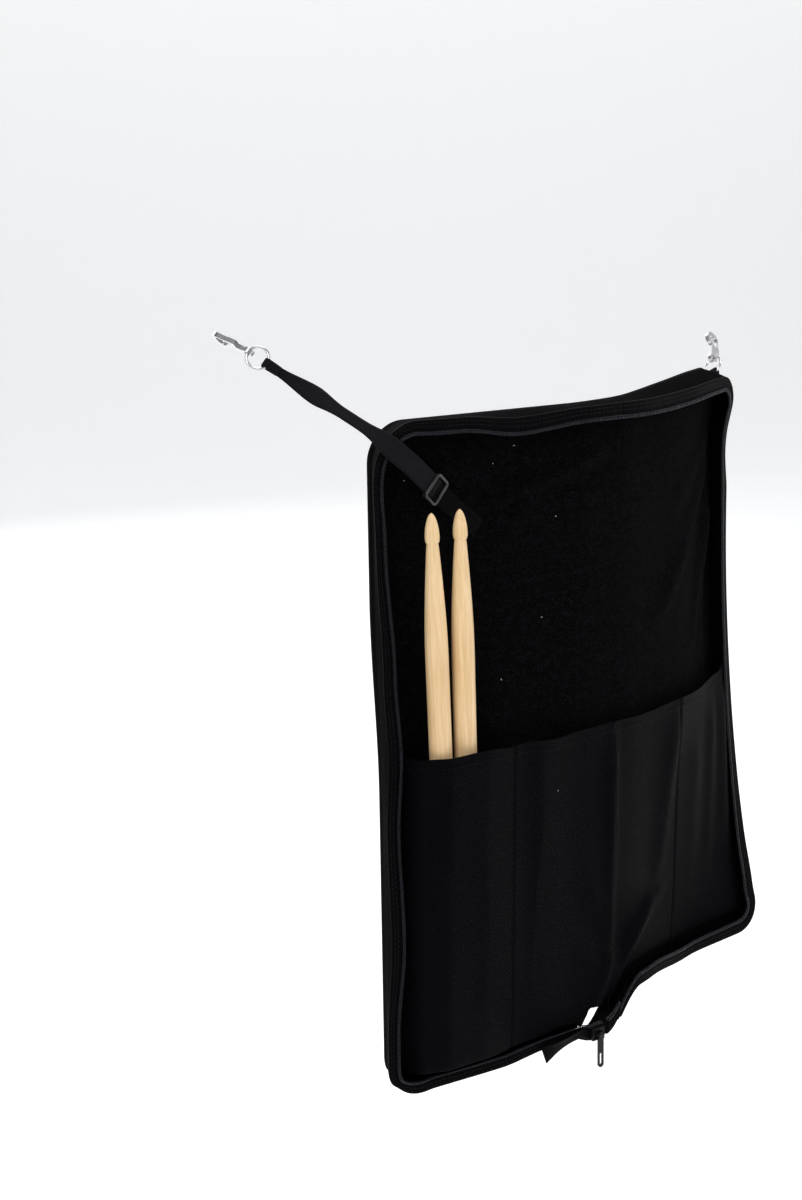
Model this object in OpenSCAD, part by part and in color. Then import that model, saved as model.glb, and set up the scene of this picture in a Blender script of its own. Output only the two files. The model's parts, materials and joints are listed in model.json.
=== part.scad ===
// Drum stick bag, opened like a book and hung by two hooked webbing straps.
// Bag frame while modelling: X right, Y back, Z up. The lining of the left leaf is the plane
// y = 0, the middle of the spine is x = 0 and the bottom of the bag is z = 0.
// Every node is then moved so that the origin is the middle of the left hook's jaw.

/* [Bag] */
// Height of the bag
bag_h = 480; // [440:1:520]
// Width of the whole bag, opened flat
open_w = 400; // [380:1:420]
// Width of the spine, between its two fold lines
spine_w = 50; // [48:1:56]
// Radius of the outer corners
corner_r = 28; // [24:1:34]
// Backward bend at each fold line as the bag hangs
rest_bend = 12; // [0:1:14]

/* [Layers] */
// Thickness of the outer fabric
cover_t = 1.2; // [1:0.1:1.6]
// Thickness of the foam in a leaf
foam_t = 4; // [3:0.5:5]
// Thickness of the lining
lining_t = 1; // [0.8:0.1:1.2]
// How far the side band stands in front of the lining
band_front = 14; // [12:0.5:16]
// Thickness of the side band
band_t = 1.6; // [1.2:0.1:2]

/* [Zip] */
// Width of the zip tape
tape_w = 8; // [7:0.5:9]
// Thickness of the zip tape
tape_t = 1; // [0.8:0.1:1.2]
// Width of the coil
coil_w = 3.5; // [3:0.1:4]
// Thickness of the coil
coil_t = 2.5; // [2:0.1:3]
// Place of the slider along the bottom edge
slider_x = -23; // [-24:1:-15]
// Length of the pull tab, from its pin
pull_l = 26; // [20:1:30]

/* [Pockets] */
// Height of the pockets' top edge
pocket_top = 242; // [220:1:260]
// Height of the pockets' floor
pocket_floor = 16.3; // [16.3:0.1:20]
// Distance of the outermost pocket seam from the middle of the spine
seam_out = 183; // [178:1:183]
// Distance of the middle pocket seam from the middle of the spine
seam_mid = 87; // [84:1:92]
// Thickness of the pocket fabric
pocket_t = 0.8; // [0.6:0.1:1]
// Depth of the stick pocket at its floor
stick_pocket_low = 18; // [17.5:0.5:20]
// Depth of the stick pocket at its mouth
stick_pocket_high = 26.8; // [26.8:0.2:29]
// Depth of the other pockets at their mouths
slack_high = 9; // [7:0.5:11]
// Height of the sewn hem along the pockets' top edge
hem_h = 8; // [6:1:10]

/* [Straps] */
// Width of the webbing
web_w = 15; // [13:0.5:16]
// Thickness of the webbing
web_t = 1.4; // [1.2:0.1:1.6]
// Rise of the left strap above the horizontal
left_rise = 39.5; // [34:0.5:44]
// Backward lean of the right strap from the vertical
right_lean = 30; // [20:1:40]

/* [Hooks] */
// Radius of the hook's jaw
jaw_r = 4.1; // [3.8:0.1:4.5]
// Thickness of the hook
hook_t = 3.2; // [2.8:0.1:3.6]
// Radius of the ring, to the middle of its wire
ring_r = 7.4; // [7:0.1:8]
// Radius of the ring's wire
wire_r = 1.1; // [1:0.05:1.2]

/* [Sticks] */
// Length of a drum stick
stick_l = 404; // [395:1:410]
// Diameter of a drum stick
stick_d = 16; // [14:0.5:16]
// Forward lean of the sticks in their pocket
stick_tip_out = 2.2; // [2.2:0.1:2.4]

/* [Handle and outer pocket] */
// Length of the carry handle between its sewn ends
handle_l = 130; // [110:5:150]
// Height of the handle above the spine
handle_rise = 26; // [22:1:32]
// Width of the outer pocket
outer_pocket_w = 126; // [110:1:130]
// Height of the outer pocket
outer_pocket_h = 300; // [250:5:320]
// Depth of the outer pocket
outer_pocket_d = 14; // [10:1:18]

/* [Hidden] */
$fn = 48;

// Fold lines, in the flat bag: x = -fold_x and x = +fold_x, at y = fold_y.
fold_x = spine_w / 2;
fold_y = lining_t + foam_t;
back_y = fold_y + cover_t;
band_gap = 0.05;
edge_x = open_w / 2;
leaf_in = fold_x + 3;               // a leaf's panels stop short of the fold line
spine_edge = fold_x - 3;
coil_in = tape_w + coil_w;          // inset of the coil's inner edge
coil_front = band_front + tape_t + 0.7;

// Spine layers, thin where the bag folds.
spine_lining_t = 1.2;
spine_bottom = 16.5;                // a notch leaves room for the zip's tail

// Zip slider: two plates, a bridge and a bail for the pull.
slider_l = 11;
slider_z = [4.5, 13.8];
slider_back = [11.2, 12.7];
slider_front = [16.2, 18.2];
bridge_z = 12;
bail_y = 20.4;
bail_z = tape_w + coil_w / 2;
pin_r = 0.7;
pull_w = 5;
pull_t = 1.4;

// Strap routes, as [distance along the strap, distance in front of the fabric it is sewn to].
left_route = [[0, 2.2], [47, 17.2], [86, 17.2], [160, -24]];
right_route = [[0, 2.2], [34, 9], [60, 29]];
left_hook_turn = -60;
right_hook_turn = 45;
patch_l = 32;
loop_w = 6.4;
loop_void = 2;
glide_at = [20, 17];
left_hinge = [-141, 0, 421];
right_hinge = [edge_x, -4, 425];
hook_reach = 22;                    // from the hook's eye to the middle of its jaw
eye_r = 4.2;
eye_hole = 1.9;
jaw_out = jaw_r + 3.1;
gate_pin = [14.9, 5.15];
gate_l = 9.3;

// Sticks: place of the butt and sideways lean of each.
stick_floor = pocket_floor + pocket_t + 0.6;
stick_y = -9;
left_stick_x = -147.5;
left_stick_lean = 3.2;
right_stick_x = -130.3;
right_stick_lean = 2.4;

function unit(v) = v / norm(v);
function end_direction(route) =
    unit(route[len(route) - 1] - route[len(route) - 2]);
function route_end(route) = route[len(route) - 1];
function hook_eye(route) = route_end(route) + end_direction(route) * 2 * ring_r;
function jaw_point(route, turn) = hook_eye(route) + hook_reach * [cos(turn), sin(turn)];
left_jaw = jaw_point(left_route, left_hook_turn);
origin = left_hinge + [-left_jaw[0] * cos(left_rise), -left_jaw[1], left_jaw[0] * sin(left_rise)];

// Places of the folded bodies and straps.
module placed() { translate(-origin) children(); }
module turned_about(x) {
    translate([x, fold_y, 0]) rotate([0, 0, rest_bend]) translate([-x, -fold_y, 0]) children();
}
module on_spine() { placed() turned_about(-fold_x) children(); }
module on_right() { on_spine() turned_about(fold_x) children(); }
module on_left_strap() {
    placed() translate(left_hinge) rotate([0, left_rise, 0]) rotate([0, 0, 180]) children();
}
module on_right_strap() {
    on_right() translate(right_hinge) rotate([-right_lean, 0, 0]) rotate([-90, -90, 0]) children();
}
module mirrored() { mirror([1, 0, 0]) children(); }

// Flat shapes drawn in X and Z, then given depth from y0 back to y1.
module slab(y0, y1) {
    translate([0, y1, 0]) rotate([90, 0, 0]) linear_extrude(y1 - y0) children();
}
// Shapes drawn in Y and Z, then given width from x0 to x1.
module wall(x0, x1) {
    translate([x0, 0, 0]) rotate([90, 0, 90]) linear_extrude(x1 - x0) children();
}

// Outline of a left leaf, brought in by inset on its three free sides.
module leaf_outline(inset = 0, open_side = 0) {
    r = max(corner_r - inset, 2);
    left = -edge_x + inset;
    right = -leaf_in + open_side;
    translate([left + r, inset]) square([right - left - r, bag_h - 2 * inset]);
    translate([left, inset + r]) square([r, bag_h - 2 * inset - 2 * r]);
    for (z = [inset + r, bag_h - inset - r])
        translate([left + r, z]) circle(r, $fn = 96);
}

// A rim between two insets, open at the fold.
module rim(outer, inner) {
    difference() {
        leaf_outline(outer);
        leaf_outline(inner, 1);
    }
}

// A ribbon of thickness t along a flat route, with mitred bends.
function normal(v) = [-v[1], v[0]] / norm(v);
function beside(route, off) = [
    for (i = [0 : len(route) - 1])
        let (before = normal(route[max(i, 1)] - route[max(i, 1) - 1]),
             after = normal(route[min(i + 1, len(route) - 1)] - route[min(i, len(route) - 2)]))
        route[i] + off * (before + after) / (1 + before * after)
];
module ribbon(route, t) {
    back = beside(route, -t / 2);
    polygon(concat(beside(route, t / 2), [for (i = [len(back) - 1 : -1 : 0]) back[i]]));
}

// The side band's lengths meet, with a hair's gap, where its two corners start and end.
module band_joints() {
    translate([-edge_x + corner_r, -1]) square([band_gap, bag_h + 2]);
    for (z = [corner_r, bag_h - corner_r])
        translate([-edge_x - 1, z]) square([corner_r, band_gap]);
}

// Panels of a leaf, drawn for the left one.
module cover() { slab(fold_y, back_y) leaf_outline(); }
module padding() { slab(lining_t, fold_y) leaf_outline(band_t); }
module lining() { slab(0, lining_t) leaf_outline(band_t); }
module side_band() { slab(-band_front, fold_y) difference() { rim(0, band_t); band_joints(); } }
module zip_tape() { slab(-band_front - tape_t, -band_front) rim(0, tape_w); }
module zip_coil() { slab(-coil_front, -coil_front + coil_t) rim(tape_w, coil_in); }

// One pocket: a sheet that leans from depth low at its floor to depth high at its mouth,
// with its two seams and its floor.
module pocket(x0, x1, low, high) {
    slope = (high - low) / (pocket_top - pocket_floor);
    inside_low = low + slope * pocket_t;
    difference() {
        wall(x0, x1) polygon([[0, pocket_floor], [-low - pocket_t, pocket_floor],
                              [-high - pocket_t, pocket_top], [0, pocket_top]]);
        wall(x0 + pocket_t, x1 - pocket_t)
            polygon([[1, pocket_floor + pocket_t], [-inside_low, pocket_floor + pocket_t],
                     [-high - slope, pocket_top + 1], [1, pocket_top + 1]]);
    }
}
module hem(x0, x1, low, high) {
    slope = (high - low) / (pocket_top - pocket_floor);
    front = high + pocket_t;
    wall(x0, x1) polygon([[-front, pocket_top], [-front + slope * hem_h, pocket_top - hem_h],
                          [-front + slope * hem_h - 0.6, pocket_top - hem_h], [-front - 0.6, pocket_top]]);
}
slack_low = 4;

// Left leaf.
module left_cover() { color([0.10, 0.10, 0.11]) placed() cover(); }
module left_padding() { color([0.30, 0.30, 0.32]) placed() padding(); }
module left_lining() { color([0.06, 0.06, 0.07]) placed() lining(); }
module left_side_band() { color([0.14, 0.14, 0.15]) placed() side_band(); }
module left_zip_tape() { color([0.09, 0.09, 0.10]) placed() zip_tape(); }
module left_zip_coil() { color([0.12, 0.13, 0.16]) placed() zip_coil(); }
module left_pockets() {
    color([0.16, 0.16, 0.18]) placed() {
        pocket(-seam_out, -seam_mid, stick_pocket_low, stick_pocket_high);
        pocket(-seam_mid, -leaf_in - 1, slack_low, slack_high);
    }
}
module left_pocket_hem() {
    color([0.18, 0.18, 0.20]) placed() {
        hem(-seam_out, -seam_mid, stick_pocket_low, stick_pocket_high);
        hem(-seam_mid, -leaf_in - 1, slack_low, slack_high);
    }
}

// The zip's tail runs on past the fold line, below the spine, and ends in a loose tape tab.
module zip_tail() {
    tail = [-leaf_in, -6];
    color([0.12, 0.13, 0.16]) placed() {
        translate([tail[0], -coil_front, tape_w]) cube([tail[1] - tail[0], coil_t, coil_w]);
        translate([tail[0], -band_front - tape_t, 0]) cube([tail[1] - tail[0], tape_t, tape_w]);
    }
}
module zip_end_tab() {
    color([0.09, 0.09, 0.10]) placed() slab(-band_front - tape_t - 0.8, -band_front - tape_t)
        polygon([[-6, 4], [-6, -3], [-32, -8], [-64, -12], [-69, -1], [-40, 1], [-14, 4]]);
}

// Spine.
module spine_sheet(z0, z1) {
    translate([-spine_edge, z0]) square([2 * spine_edge, z1 - z0]);
}
module spine_cover() {
    color([0.10, 0.10, 0.11]) on_spine() slab(fold_y, back_y) spine_sheet(spine_bottom, bag_h);
}
module spine_lining() {
    color([0.06, 0.06, 0.07]) on_spine()
        slab(fold_y - spine_lining_t, fold_y) spine_sheet(spine_bottom, bag_h);
}
module spine_pocket() {
    front = fold_y - spine_lining_t;
    color([0.16, 0.16, 0.18]) on_spine()
        slab(front - pocket_t, front) spine_sheet(spine_bottom, pocket_top);
}
module spine_pocket_hem() {
    front = fold_y - spine_lining_t - pocket_t;
    color([0.18, 0.18, 0.20]) on_spine()
        slab(front - 0.6, front) spine_sheet(pocket_top - hem_h, pocket_top);
}
module carry_handle() {
    low = (bag_h - handle_l) / 2;
    foot = back_y + web_t + 0.8;
    color([0.13, 0.13, 0.14]) on_spine() wall(-12.5, 12.5)
        ribbon([[foot, low - 22], [foot, low], [back_y + handle_rise * 0.8, low + 18],
                [back_y + handle_rise, low + 36], [back_y + handle_rise, low + handle_l - 36],
                [back_y + handle_rise * 0.8, low + handle_l - 18],
                [foot, low + handle_l], [foot, low + handle_l + 22]], 2.2);
}
module handle_patches() {
    low = (bag_h - handle_l) / 2;
    color([0.17, 0.17, 0.18]) on_spine()
        for (z = [low - 26, low + handle_l - 2]) translate([-15, back_y, z]) cube([30, 1.1, 28]);
}

// Right leaf.
module right_cover() { color([0.10, 0.10, 0.11]) on_right() mirrored() cover(); }
module right_padding() { color([0.30, 0.30, 0.32]) on_right() mirrored() padding(); }
module right_lining() { color([0.06, 0.06, 0.07]) on_right() mirrored() lining(); }
module right_side_band() { color([0.14, 0.14, 0.15]) on_right() mirrored() side_band(); }
module right_zip_tape() { color([0.09, 0.09, 0.10]) on_right() mirrored() zip_tape(); }
module right_zip_coil() { color([0.12, 0.13, 0.16]) on_right() mirrored() zip_coil(); }
module right_pockets() {
    color([0.16, 0.16, 0.18]) on_right() mirrored() {
        pocket(-seam_out, -seam_mid, slack_low, slack_high);
        pocket(-seam_mid, -leaf_in - 1, slack_low, slack_high);
    }
}
module right_pocket_hem() {
    color([0.18, 0.18, 0.20]) on_right() mirrored() {
        hem(-seam_out, -seam_mid, slack_low, slack_high);
        hem(-seam_mid, -leaf_in - 1, slack_low, slack_high);
    }
}

// Outer pocket on the back of the right leaf, open at its top.
outer_pocket_x = [45, 45 + outer_pocket_w];
outer_pocket_z = [60, 60 + outer_pocket_h];
module outer_pocket() {
    w = outer_pocket_x[1] - outer_pocket_x[0];
    color([0.12, 0.12, 0.13]) on_right() translate([outer_pocket_x[0], back_y, outer_pocket_z[0]])
        difference() {
            cube([w, outer_pocket_d, outer_pocket_h]);
            translate([cover_t, -1, cover_t])
                cube([w - 2 * cover_t, outer_pocket_d - cover_t + 1, outer_pocket_h]);
        }
}
module outer_pocket_hem() {
    color([0.18, 0.18, 0.20]) on_right()
        translate([outer_pocket_x[0], back_y + outer_pocket_d, outer_pocket_z[1] - 16])
            cube([outer_pocket_w, 0.8, 16]);
}

// Zip slider and its pull.
module zip_slider() {
    color([0.10, 0.10, 0.11]) placed() translate([slider_x - slider_l / 2, 0, 0]) {
        for (y = [slider_back, slider_front])
            translate([0, -y[1], slider_z[0]]) cube([slider_l, y[1] - y[0], slider_z[1] - slider_z[0]]);
        translate([0, -slider_front[0] - 0.5, bridge_z])
            cube([slider_l, slider_front[0] - slider_back[1] + 1, slider_z[1] - bridge_z]);
        for (x = [slider_l / 2 - 3.2, slider_l / 2 + 2.1])
            translate([x, -bail_y - 1, bail_z - 1]) cube([1.1, bail_y + 1.2 - slider_front[1], 2]);
        translate([slider_l / 2 - 2.6, -bail_y, bail_z]) rotate([0, 90, 0]) cylinder(h = 5.2, r = pin_r);
    }
}
module zip_pull() {
    color([0.62, 0.63, 0.66]) placed() translate([slider_x, -bail_y, bail_z]) difference() {
        union() {
            translate([-1.8, 0, 0]) rotate([0, 90, 0]) cylinder(h = 3.6, r = 1.8);
            translate([-1.6, -pull_t / 2, -3.4]) cube([3.2, pull_t, 3]);
            translate([0, pull_t / 2, 0]) rotate([90, 0, 0]) linear_extrude(pull_t) {
                translate([-pull_w / 2, -pull_l + pull_w / 2]) square([pull_w, pull_l - pull_w / 2 - 2.9]);
                translate([0, -pull_l + pull_w / 2]) circle(d = pull_w);
            }
        }
        translate([-3, 0, 0]) rotate([0, 90, 0]) cylinder(h = 6, r = pin_r + 0.1);
        translate([0, 2, 0]) rotate([90, 0, 0]) linear_extrude(4) {
            translate([-1.1, -pull_l + 3.2]) square([2.2, 7]);
            for (z = [3.2, 10.2]) translate([0, z - pull_l]) circle(r = 1.1);
        }
    }
}

// A hooked strap. Its own frame: X along the strap, Y away from the fabric, Z across the webbing.
module across(w) { translate([0, 0, -w / 2]) linear_extrude(w) children(); }

// The sewn end, flat on the fabric.
module strap_patch() {
    translate([-patch_l, 0, -web_w / 2]) cube([patch_l, web_t, web_w]);
}
module webbing(route) {
    e = end_direction(route);
    stop = route_end(route) - 9 * e;
    wide = [for (i = [0 : len(route) - 1]) i < len(route) - 1 ? route[i] : stop];
    across(web_w) ribbon(wide, web_t);
    translate([0, route[0][1], 0]) rotate([90, 0, 0])
        translate([0, 0, -web_t / 2]) cylinder(h = web_t, d = web_w);
    translate([route_end(route)[0], route_end(route)[1], 0]) rotate([0, 0, atan2(e[1], e[0])])
        across(loop_w) difference() {
            union() {
                circle(loop_void + web_t);
                translate([-10, -loop_void - web_t]) square([10, 2 * (loop_void + web_t)]);
            }
            circle(loop_void);
            translate([-3, -loop_void]) square([3, 2 * loop_void]);
        }
}
// The adjuster: the webbing runs behind its end bars and in front of its middle bar.
module tri_glide(route, at) {
    lead = route[1] - route[0];
    spot = route[0] + unit(lead) * at;
    body = [16, 20];
    bar = 3;
    gap = web_t / 2 + 0.1;
    translate([spot[0], spot[1], 0]) rotate([0, 0, atan2(lead[1], lead[0])]) {
        for (z = [-body[1] / 2, body[1] / 2 - 2.2])
            translate([-body[0] / 2, -gap - 1.4, z]) cube([body[0], 2 * gap + 2.8, 2.2]);
        for (x = [-body[0] / 2, body[0] / 2 - bar])
            translate([x, gap, -body[1] / 2]) cube([bar, 1.4, body[1]]);
        translate([-bar / 2, -gap - 1.4, -body[1] / 2]) cube([bar, 1.4, body[1]]);
    }
}
module at_ring(route) {
    e = end_direction(route);
    centre = route_end(route) + e * ring_r;
    translate([centre[0], centre[1], 0]) rotate([0, 0, atan2(e[1], e[0])]) children();
}
module ring(route) {
    at_ring(route) rotate([90, 0, 0]) rotate_extrude($fn = 72) translate([ring_r, 0]) circle(wire_r, $fn = 32);
}
module at_hook(route, turn) {
    p = hook_eye(route);
    translate([p[0], p[1], 0]) rotate([0, 0, turn]) children();
}
module hook(route, turn) {
    at_hook(route, turn) across(hook_t) difference() {
        union() {
            circle(eye_r);
            translate([2, -2.6]) square([hook_reach - jaw_out, 5.2]);
            translate([8, 0]) square([7.6, 7.2]);
            translate([hook_reach, 0]) circle(jaw_out, $fn = 72);
        }
        circle(eye_hole);
        translate([hook_reach, 0]) circle(jaw_r, $fn = 72);
        translate([14.9, 0.4]) square([gate_l + 0.4, jaw_out + 2]);
        translate(gate_pin) circle(1.9);
    }
}
module gate(route, turn) {
    at_hook(route, turn) across(hook_t) {
        translate(gate_pin) circle(1.6);
        translate(gate_pin + [0, -0.8]) square([gate_l, 1.6]);
    }
}

module left_strap_patch() { color([0.18, 0.18, 0.19]) on_left_strap() strap_patch(); }
module left_webbing() { color([0.18, 0.18, 0.19]) on_left_strap() webbing(left_route); }
module left_tri_glide() { color([0.28, 0.28, 0.30]) on_left_strap() tri_glide(left_route, glide_at[0]); }
module left_ring() { color([0.75, 0.75, 0.77]) on_left_strap() ring(left_route); }
module left_hook() { color([0.70, 0.70, 0.72]) on_left_strap() hook(left_route, left_hook_turn); }
module left_gate() { color([0.80, 0.80, 0.82]) on_left_strap() gate(left_route, left_hook_turn); }
module right_strap_patch() { color([0.18, 0.18, 0.19]) on_right_strap() strap_patch(); }
module right_webbing() { color([0.18, 0.18, 0.19]) on_right_strap() webbing(right_route); }
module right_tri_glide() { color([0.28, 0.28, 0.30]) on_right_strap() tri_glide(right_route, glide_at[1]); }
module right_ring() { color([0.75, 0.75, 0.77]) on_right_strap() ring(right_route); }
module right_hook() { color([0.70, 0.70, 0.72]) on_right_strap() hook(right_route, right_hook_turn); }
module right_gate() { color([0.80, 0.80, 0.82]) on_right_strap() gate(right_route, right_hook_turn); }

// A drum stick, butt at the origin and tip up: rounded butt, shaft, long taper, neck and acorn tip.
module stick() {
    r = stick_d / 2;
    taper_end = stick_l - 21;
    rotate_extrude($fn = 64) polygon([
        [0, 0], [r - 3.2, 0], [r - 1.6, 0.7], [r - 0.5, 2.2], [r, 4.5], [r, taper_end - 62],
        [r - 0.6, taper_end - 48], [r - 2.2, taper_end - 22], [r - 3.8, taper_end - 3],
        [r - 4.1, taper_end], [r - 3.5, taper_end + 2], [r - 3.0, taper_end + 6],
        [r - 3.3, taper_end + 11], [r - 4.3, taper_end + 16], [r - 5.8, taper_end + 19.6],
        [r - 7.2, stick_l - 0.2], [0, stick_l]]);
}
module left_stick() {
    color([0.90, 0.78, 0.60]) placed() translate([left_stick_x, stick_y, stick_floor])
        rotate([stick_tip_out, -left_stick_lean, 0]) stick();
}
module right_stick() {
    color([0.90, 0.78, 0.60]) placed() translate([right_stick_x, stick_y, stick_floor])
        rotate([stick_tip_out, -right_stick_lean, 0]) stick();
}

left_cover();
left_padding();
left_lining();
left_side_band();
left_zip_tape();
left_zip_coil();
left_pockets();
left_pocket_hem();
left_strap_patch();
zip_tail();
zip_end_tab();
spine_cover();
spine_lining();
spine_pocket();
spine_pocket_hem();
carry_handle();
handle_patches();
right_cover();
right_padding();
right_lining();
right_side_band();
right_zip_tape();
right_zip_coil();
right_pockets();
right_pocket_hem();
right_strap_patch();
outer_pocket();
outer_pocket_hem();
zip_slider();
zip_pull();
left_webbing();
left_tri_glide();
left_ring();
left_hook();
left_gate();
right_webbing();
right_tri_glide();
right_ring();
right_hook();
right_gate();
left_stick();
right_stick();
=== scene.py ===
"""Looks of the drum stick bag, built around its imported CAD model.

Most pieces are drawn on the bag's flat pattern, as (u, v, w): u across the open bag from the middle
of the spine, v up from its bottom edge and w in front of the lining. place() then bends the pattern
into the shape in which the bag hangs.
"""
import json
import math

import bpy
import numpy as np
from mathutils import Matrix, Vector


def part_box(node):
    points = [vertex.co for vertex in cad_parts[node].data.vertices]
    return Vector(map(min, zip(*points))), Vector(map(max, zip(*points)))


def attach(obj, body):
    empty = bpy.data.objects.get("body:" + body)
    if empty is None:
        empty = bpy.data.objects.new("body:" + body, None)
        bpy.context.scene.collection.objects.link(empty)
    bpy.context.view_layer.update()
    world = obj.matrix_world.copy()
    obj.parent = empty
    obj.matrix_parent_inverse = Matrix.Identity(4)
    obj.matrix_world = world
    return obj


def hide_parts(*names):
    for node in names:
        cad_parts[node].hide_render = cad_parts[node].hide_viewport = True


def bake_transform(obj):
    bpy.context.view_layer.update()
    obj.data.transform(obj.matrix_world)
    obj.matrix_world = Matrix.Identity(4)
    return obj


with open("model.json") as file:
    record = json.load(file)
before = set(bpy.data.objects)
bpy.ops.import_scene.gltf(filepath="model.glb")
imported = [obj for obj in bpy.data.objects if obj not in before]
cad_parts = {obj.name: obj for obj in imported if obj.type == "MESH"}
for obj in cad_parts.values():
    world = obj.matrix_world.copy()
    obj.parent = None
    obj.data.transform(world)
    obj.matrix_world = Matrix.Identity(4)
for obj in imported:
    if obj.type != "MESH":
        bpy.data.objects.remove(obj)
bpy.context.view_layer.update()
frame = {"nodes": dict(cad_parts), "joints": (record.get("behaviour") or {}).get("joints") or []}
joints = {j["name"]: j for j in frame["joints"]}

MM = 0.001

# ---------------------------------------------------------------- sizes, in metres and degrees
# As in the CAD model.
FOLD_X = 0.025
FOLD_Y = 0.005
MID_Z = 0.240
ORIGIN = np.array(joints["left_fold"]["pos_m"]) - np.array([-FOLD_X, FOLD_Y, MID_Z])
cover_low, cover_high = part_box("left_cover")
HEIGHT = cover_high.z - cover_low.z
EDGE = -(cover_low.x - ORIGIN[0])
CORNER = 0.028
COVER_BACK = 0.0062
BAND_FRONT = 0.014
LINING_THICK = 0.001
SEAM_OUT = 0.183
SEAM_MID = 0.087
POCKET_FLOOR = 0.0163
POCKET_TOP = 0.242
POCKET_THICK = 0.0008
HEM = 0.008
REST_BEND = 12

# As drawn here: where the band and the zip's teeth end along the bottom edge, the notch below the
# spine, and how far inside the rim each sheet stays.
SPINE_BOTTOM = 0.0165
BAND_END = {"left": 0.025, "right": -0.014}
TEETH_END = {"left": 0.020, "right": -0.014}
NOTCH = 0.0245
NOTCH_LEFT = (-0.0325, -0.0240)
NOTCH_RIGHT = (-0.006, 0.003)
COVER_INSET = 0.0004
LINING_INSET = 0.0018
POCKET_INSET = {"left": 0.0105, "right": 0.0035}
POCKET_EDGE = {"left": 0.191, "right": 0.1965}
COLUMN_STEP = 0.004
SHEET_SHARP = 60
THREAD_SIDES = 6
RIB_PITCH = 1.25 * MM
RIB_DEPTH = 0.28 * MM
COVER_FRONT = -0.0032
PUFF = 0.0032
PUFF_HELD = 0.0014


def ease(x, low, high):
    """0 below low, 1 above high, and smooth between them."""
    t = np.clip((np.asarray(x, float) - low) / (high - low), 0, 1)
    return t * t * (3 - 2 * t)


def through(x, knots):
    """A smooth curve through the knots, level at each of them."""
    out = np.full(np.shape(x), float(knots[0][1]))
    for (a, p), (b, q) in zip(knots, knots[1:]):
        out = out + (q - p) * ease(x, a, b)
    return out


# ---------------------------------------------------------------- how the flat pattern hangs
# Beyond its fold the right leaf sweeps back round the drum, and its bottom corner swings forward. The
# sweeps are degrees at these levels above the bag's bottom edge, next to the fold and further out.
LEVELS = [0, 0.12, 0.24, 0.36, 0.48]
SWEEP_NEAR = np.polyfit(LEVELS, [0, -3, -6, -2, 0], 3)
SWEEP_FAR = np.polyfit(LEVELS, [-16, 3, 16, 13, 6], 3)
STEP_U = 0.001
STEP_V = 0.004
TABLE_U = np.arange(-0.215, 0.2155, STEP_U)
TABLE_V = np.arange(-0.04, 0.5205, STEP_V)


def heading(u, v):
    """Direction of the sheet in degrees, turned back from the left leaf's plane."""
    folds = REST_BEND * (ease(u, -0.042, -0.008) + ease(u, 0.008, 0.042))
    near = np.polyval(SWEEP_NEAR, v) * ease(u, 0.008, 0.078)
    far = np.polyval(SWEEP_FAR, v) * ease(u, 0.08, 0.14)
    return folds + near + far


def hanging_tables():
    """Where the flat pattern hangs: tables of x, y and heading over TABLE_U and TABLE_V."""
    u, v = np.meshgrid(TABLE_U, TABLE_V, indexing="ij")
    turn = np.radians(heading(u, v))
    middle = (turn[1:] + turn[:-1]) / 2
    start = np.zeros((1, len(TABLE_V)))
    x = TABLE_U[0] + np.vstack([start, np.cumsum(np.cos(middle), 0)]) * STEP_U
    y = FOLD_Y + np.vstack([start, np.cumsum(np.sin(middle), 0)]) * STEP_U
    return x, y, turn


HANG = hanging_tables()


def sampled(table, u, v):
    """A table's value at u and v, blended between its four nearest entries."""
    i = np.clip((u - TABLE_U[0]) / STEP_U, 0, len(TABLE_U) - 1.001)
    j = np.clip((v - TABLE_V[0]) / STEP_V, 0, len(TABLE_V) - 1.001)
    i0, j0 = i.astype(int), j.astype(int)
    a, b = i - i0, j - j0
    return (
        table[i0, j0] * (1 - a) * (1 - b)
        + table[i0 + 1, j0] * a * (1 - b)
        + table[i0, j0 + 1] * (1 - a) * b
        + table[i0 + 1, j0 + 1] * a * b
    )


def warp(u, v, w):
    """The edges' small shifts on the pattern: what they add to u, and how far they lift."""
    back = np.clip((BAND_FRONT - w) / 0.020, 0, 1)
    # The right strap pulls the rim in, and the left band's back edge is tucked in below it.
    pulled = 0.011 * ease(v, 0.385, 0.425) * (1 - ease(v, 0.430, 0.462)) * ease(u, 0.15, 0.20)
    tucked = 0.005 * ease(-u, 0.165, 0.20) * (1 - ease(v, 0.22, 0.36)) * back
    # The right leaf's bottom edge hangs higher than the left one's, which lifts a little itself.
    right = 0.030 * ease(u, -0.015, 0.025) - 0.006 * ease(u, 0.04, 0.10) + 0.001 * ease(u, 0.12, 0.20)
    right = right * (1 - ease(v, 0.0, 0.15))
    left = 0.0065 * ease(-u, 0.0285, 0.037) * (1 - ease(v, 0.004, 0.022))
    # Behind, the right half's top edge stands a little higher than in front.
    top = 0.006 * ease(u, 0.0, 0.15) * ease(v, 0.44, 0.48) * back
    return tucked - pulled, left + right + top


def distances(points):
    """Lengths along a line of points, from its start to each of them."""
    return np.concatenate([[0], np.cumsum(np.linalg.norm(np.diff(points, axis=0), axis=1))])


def place(flat):
    """Points of the flat pattern, as rows of u, v and w, placed in the row frame."""
    u, v, w = np.asarray(flat, float).reshape(-1, 3).T
    shift, lift = warp(u, v, w)
    x, y, turn = (sampled(t, u + shift, v) for t in HANG)
    out = w + FOLD_Y
    return np.stack([x + np.sin(turn) * out, y - np.cos(turn) * out, v + lift], 1) + ORIGIN


def at(u, v, w):
    """One point of the flat pattern, placed in the row frame."""
    return Vector(place([[u, v, w]])[0])


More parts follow.
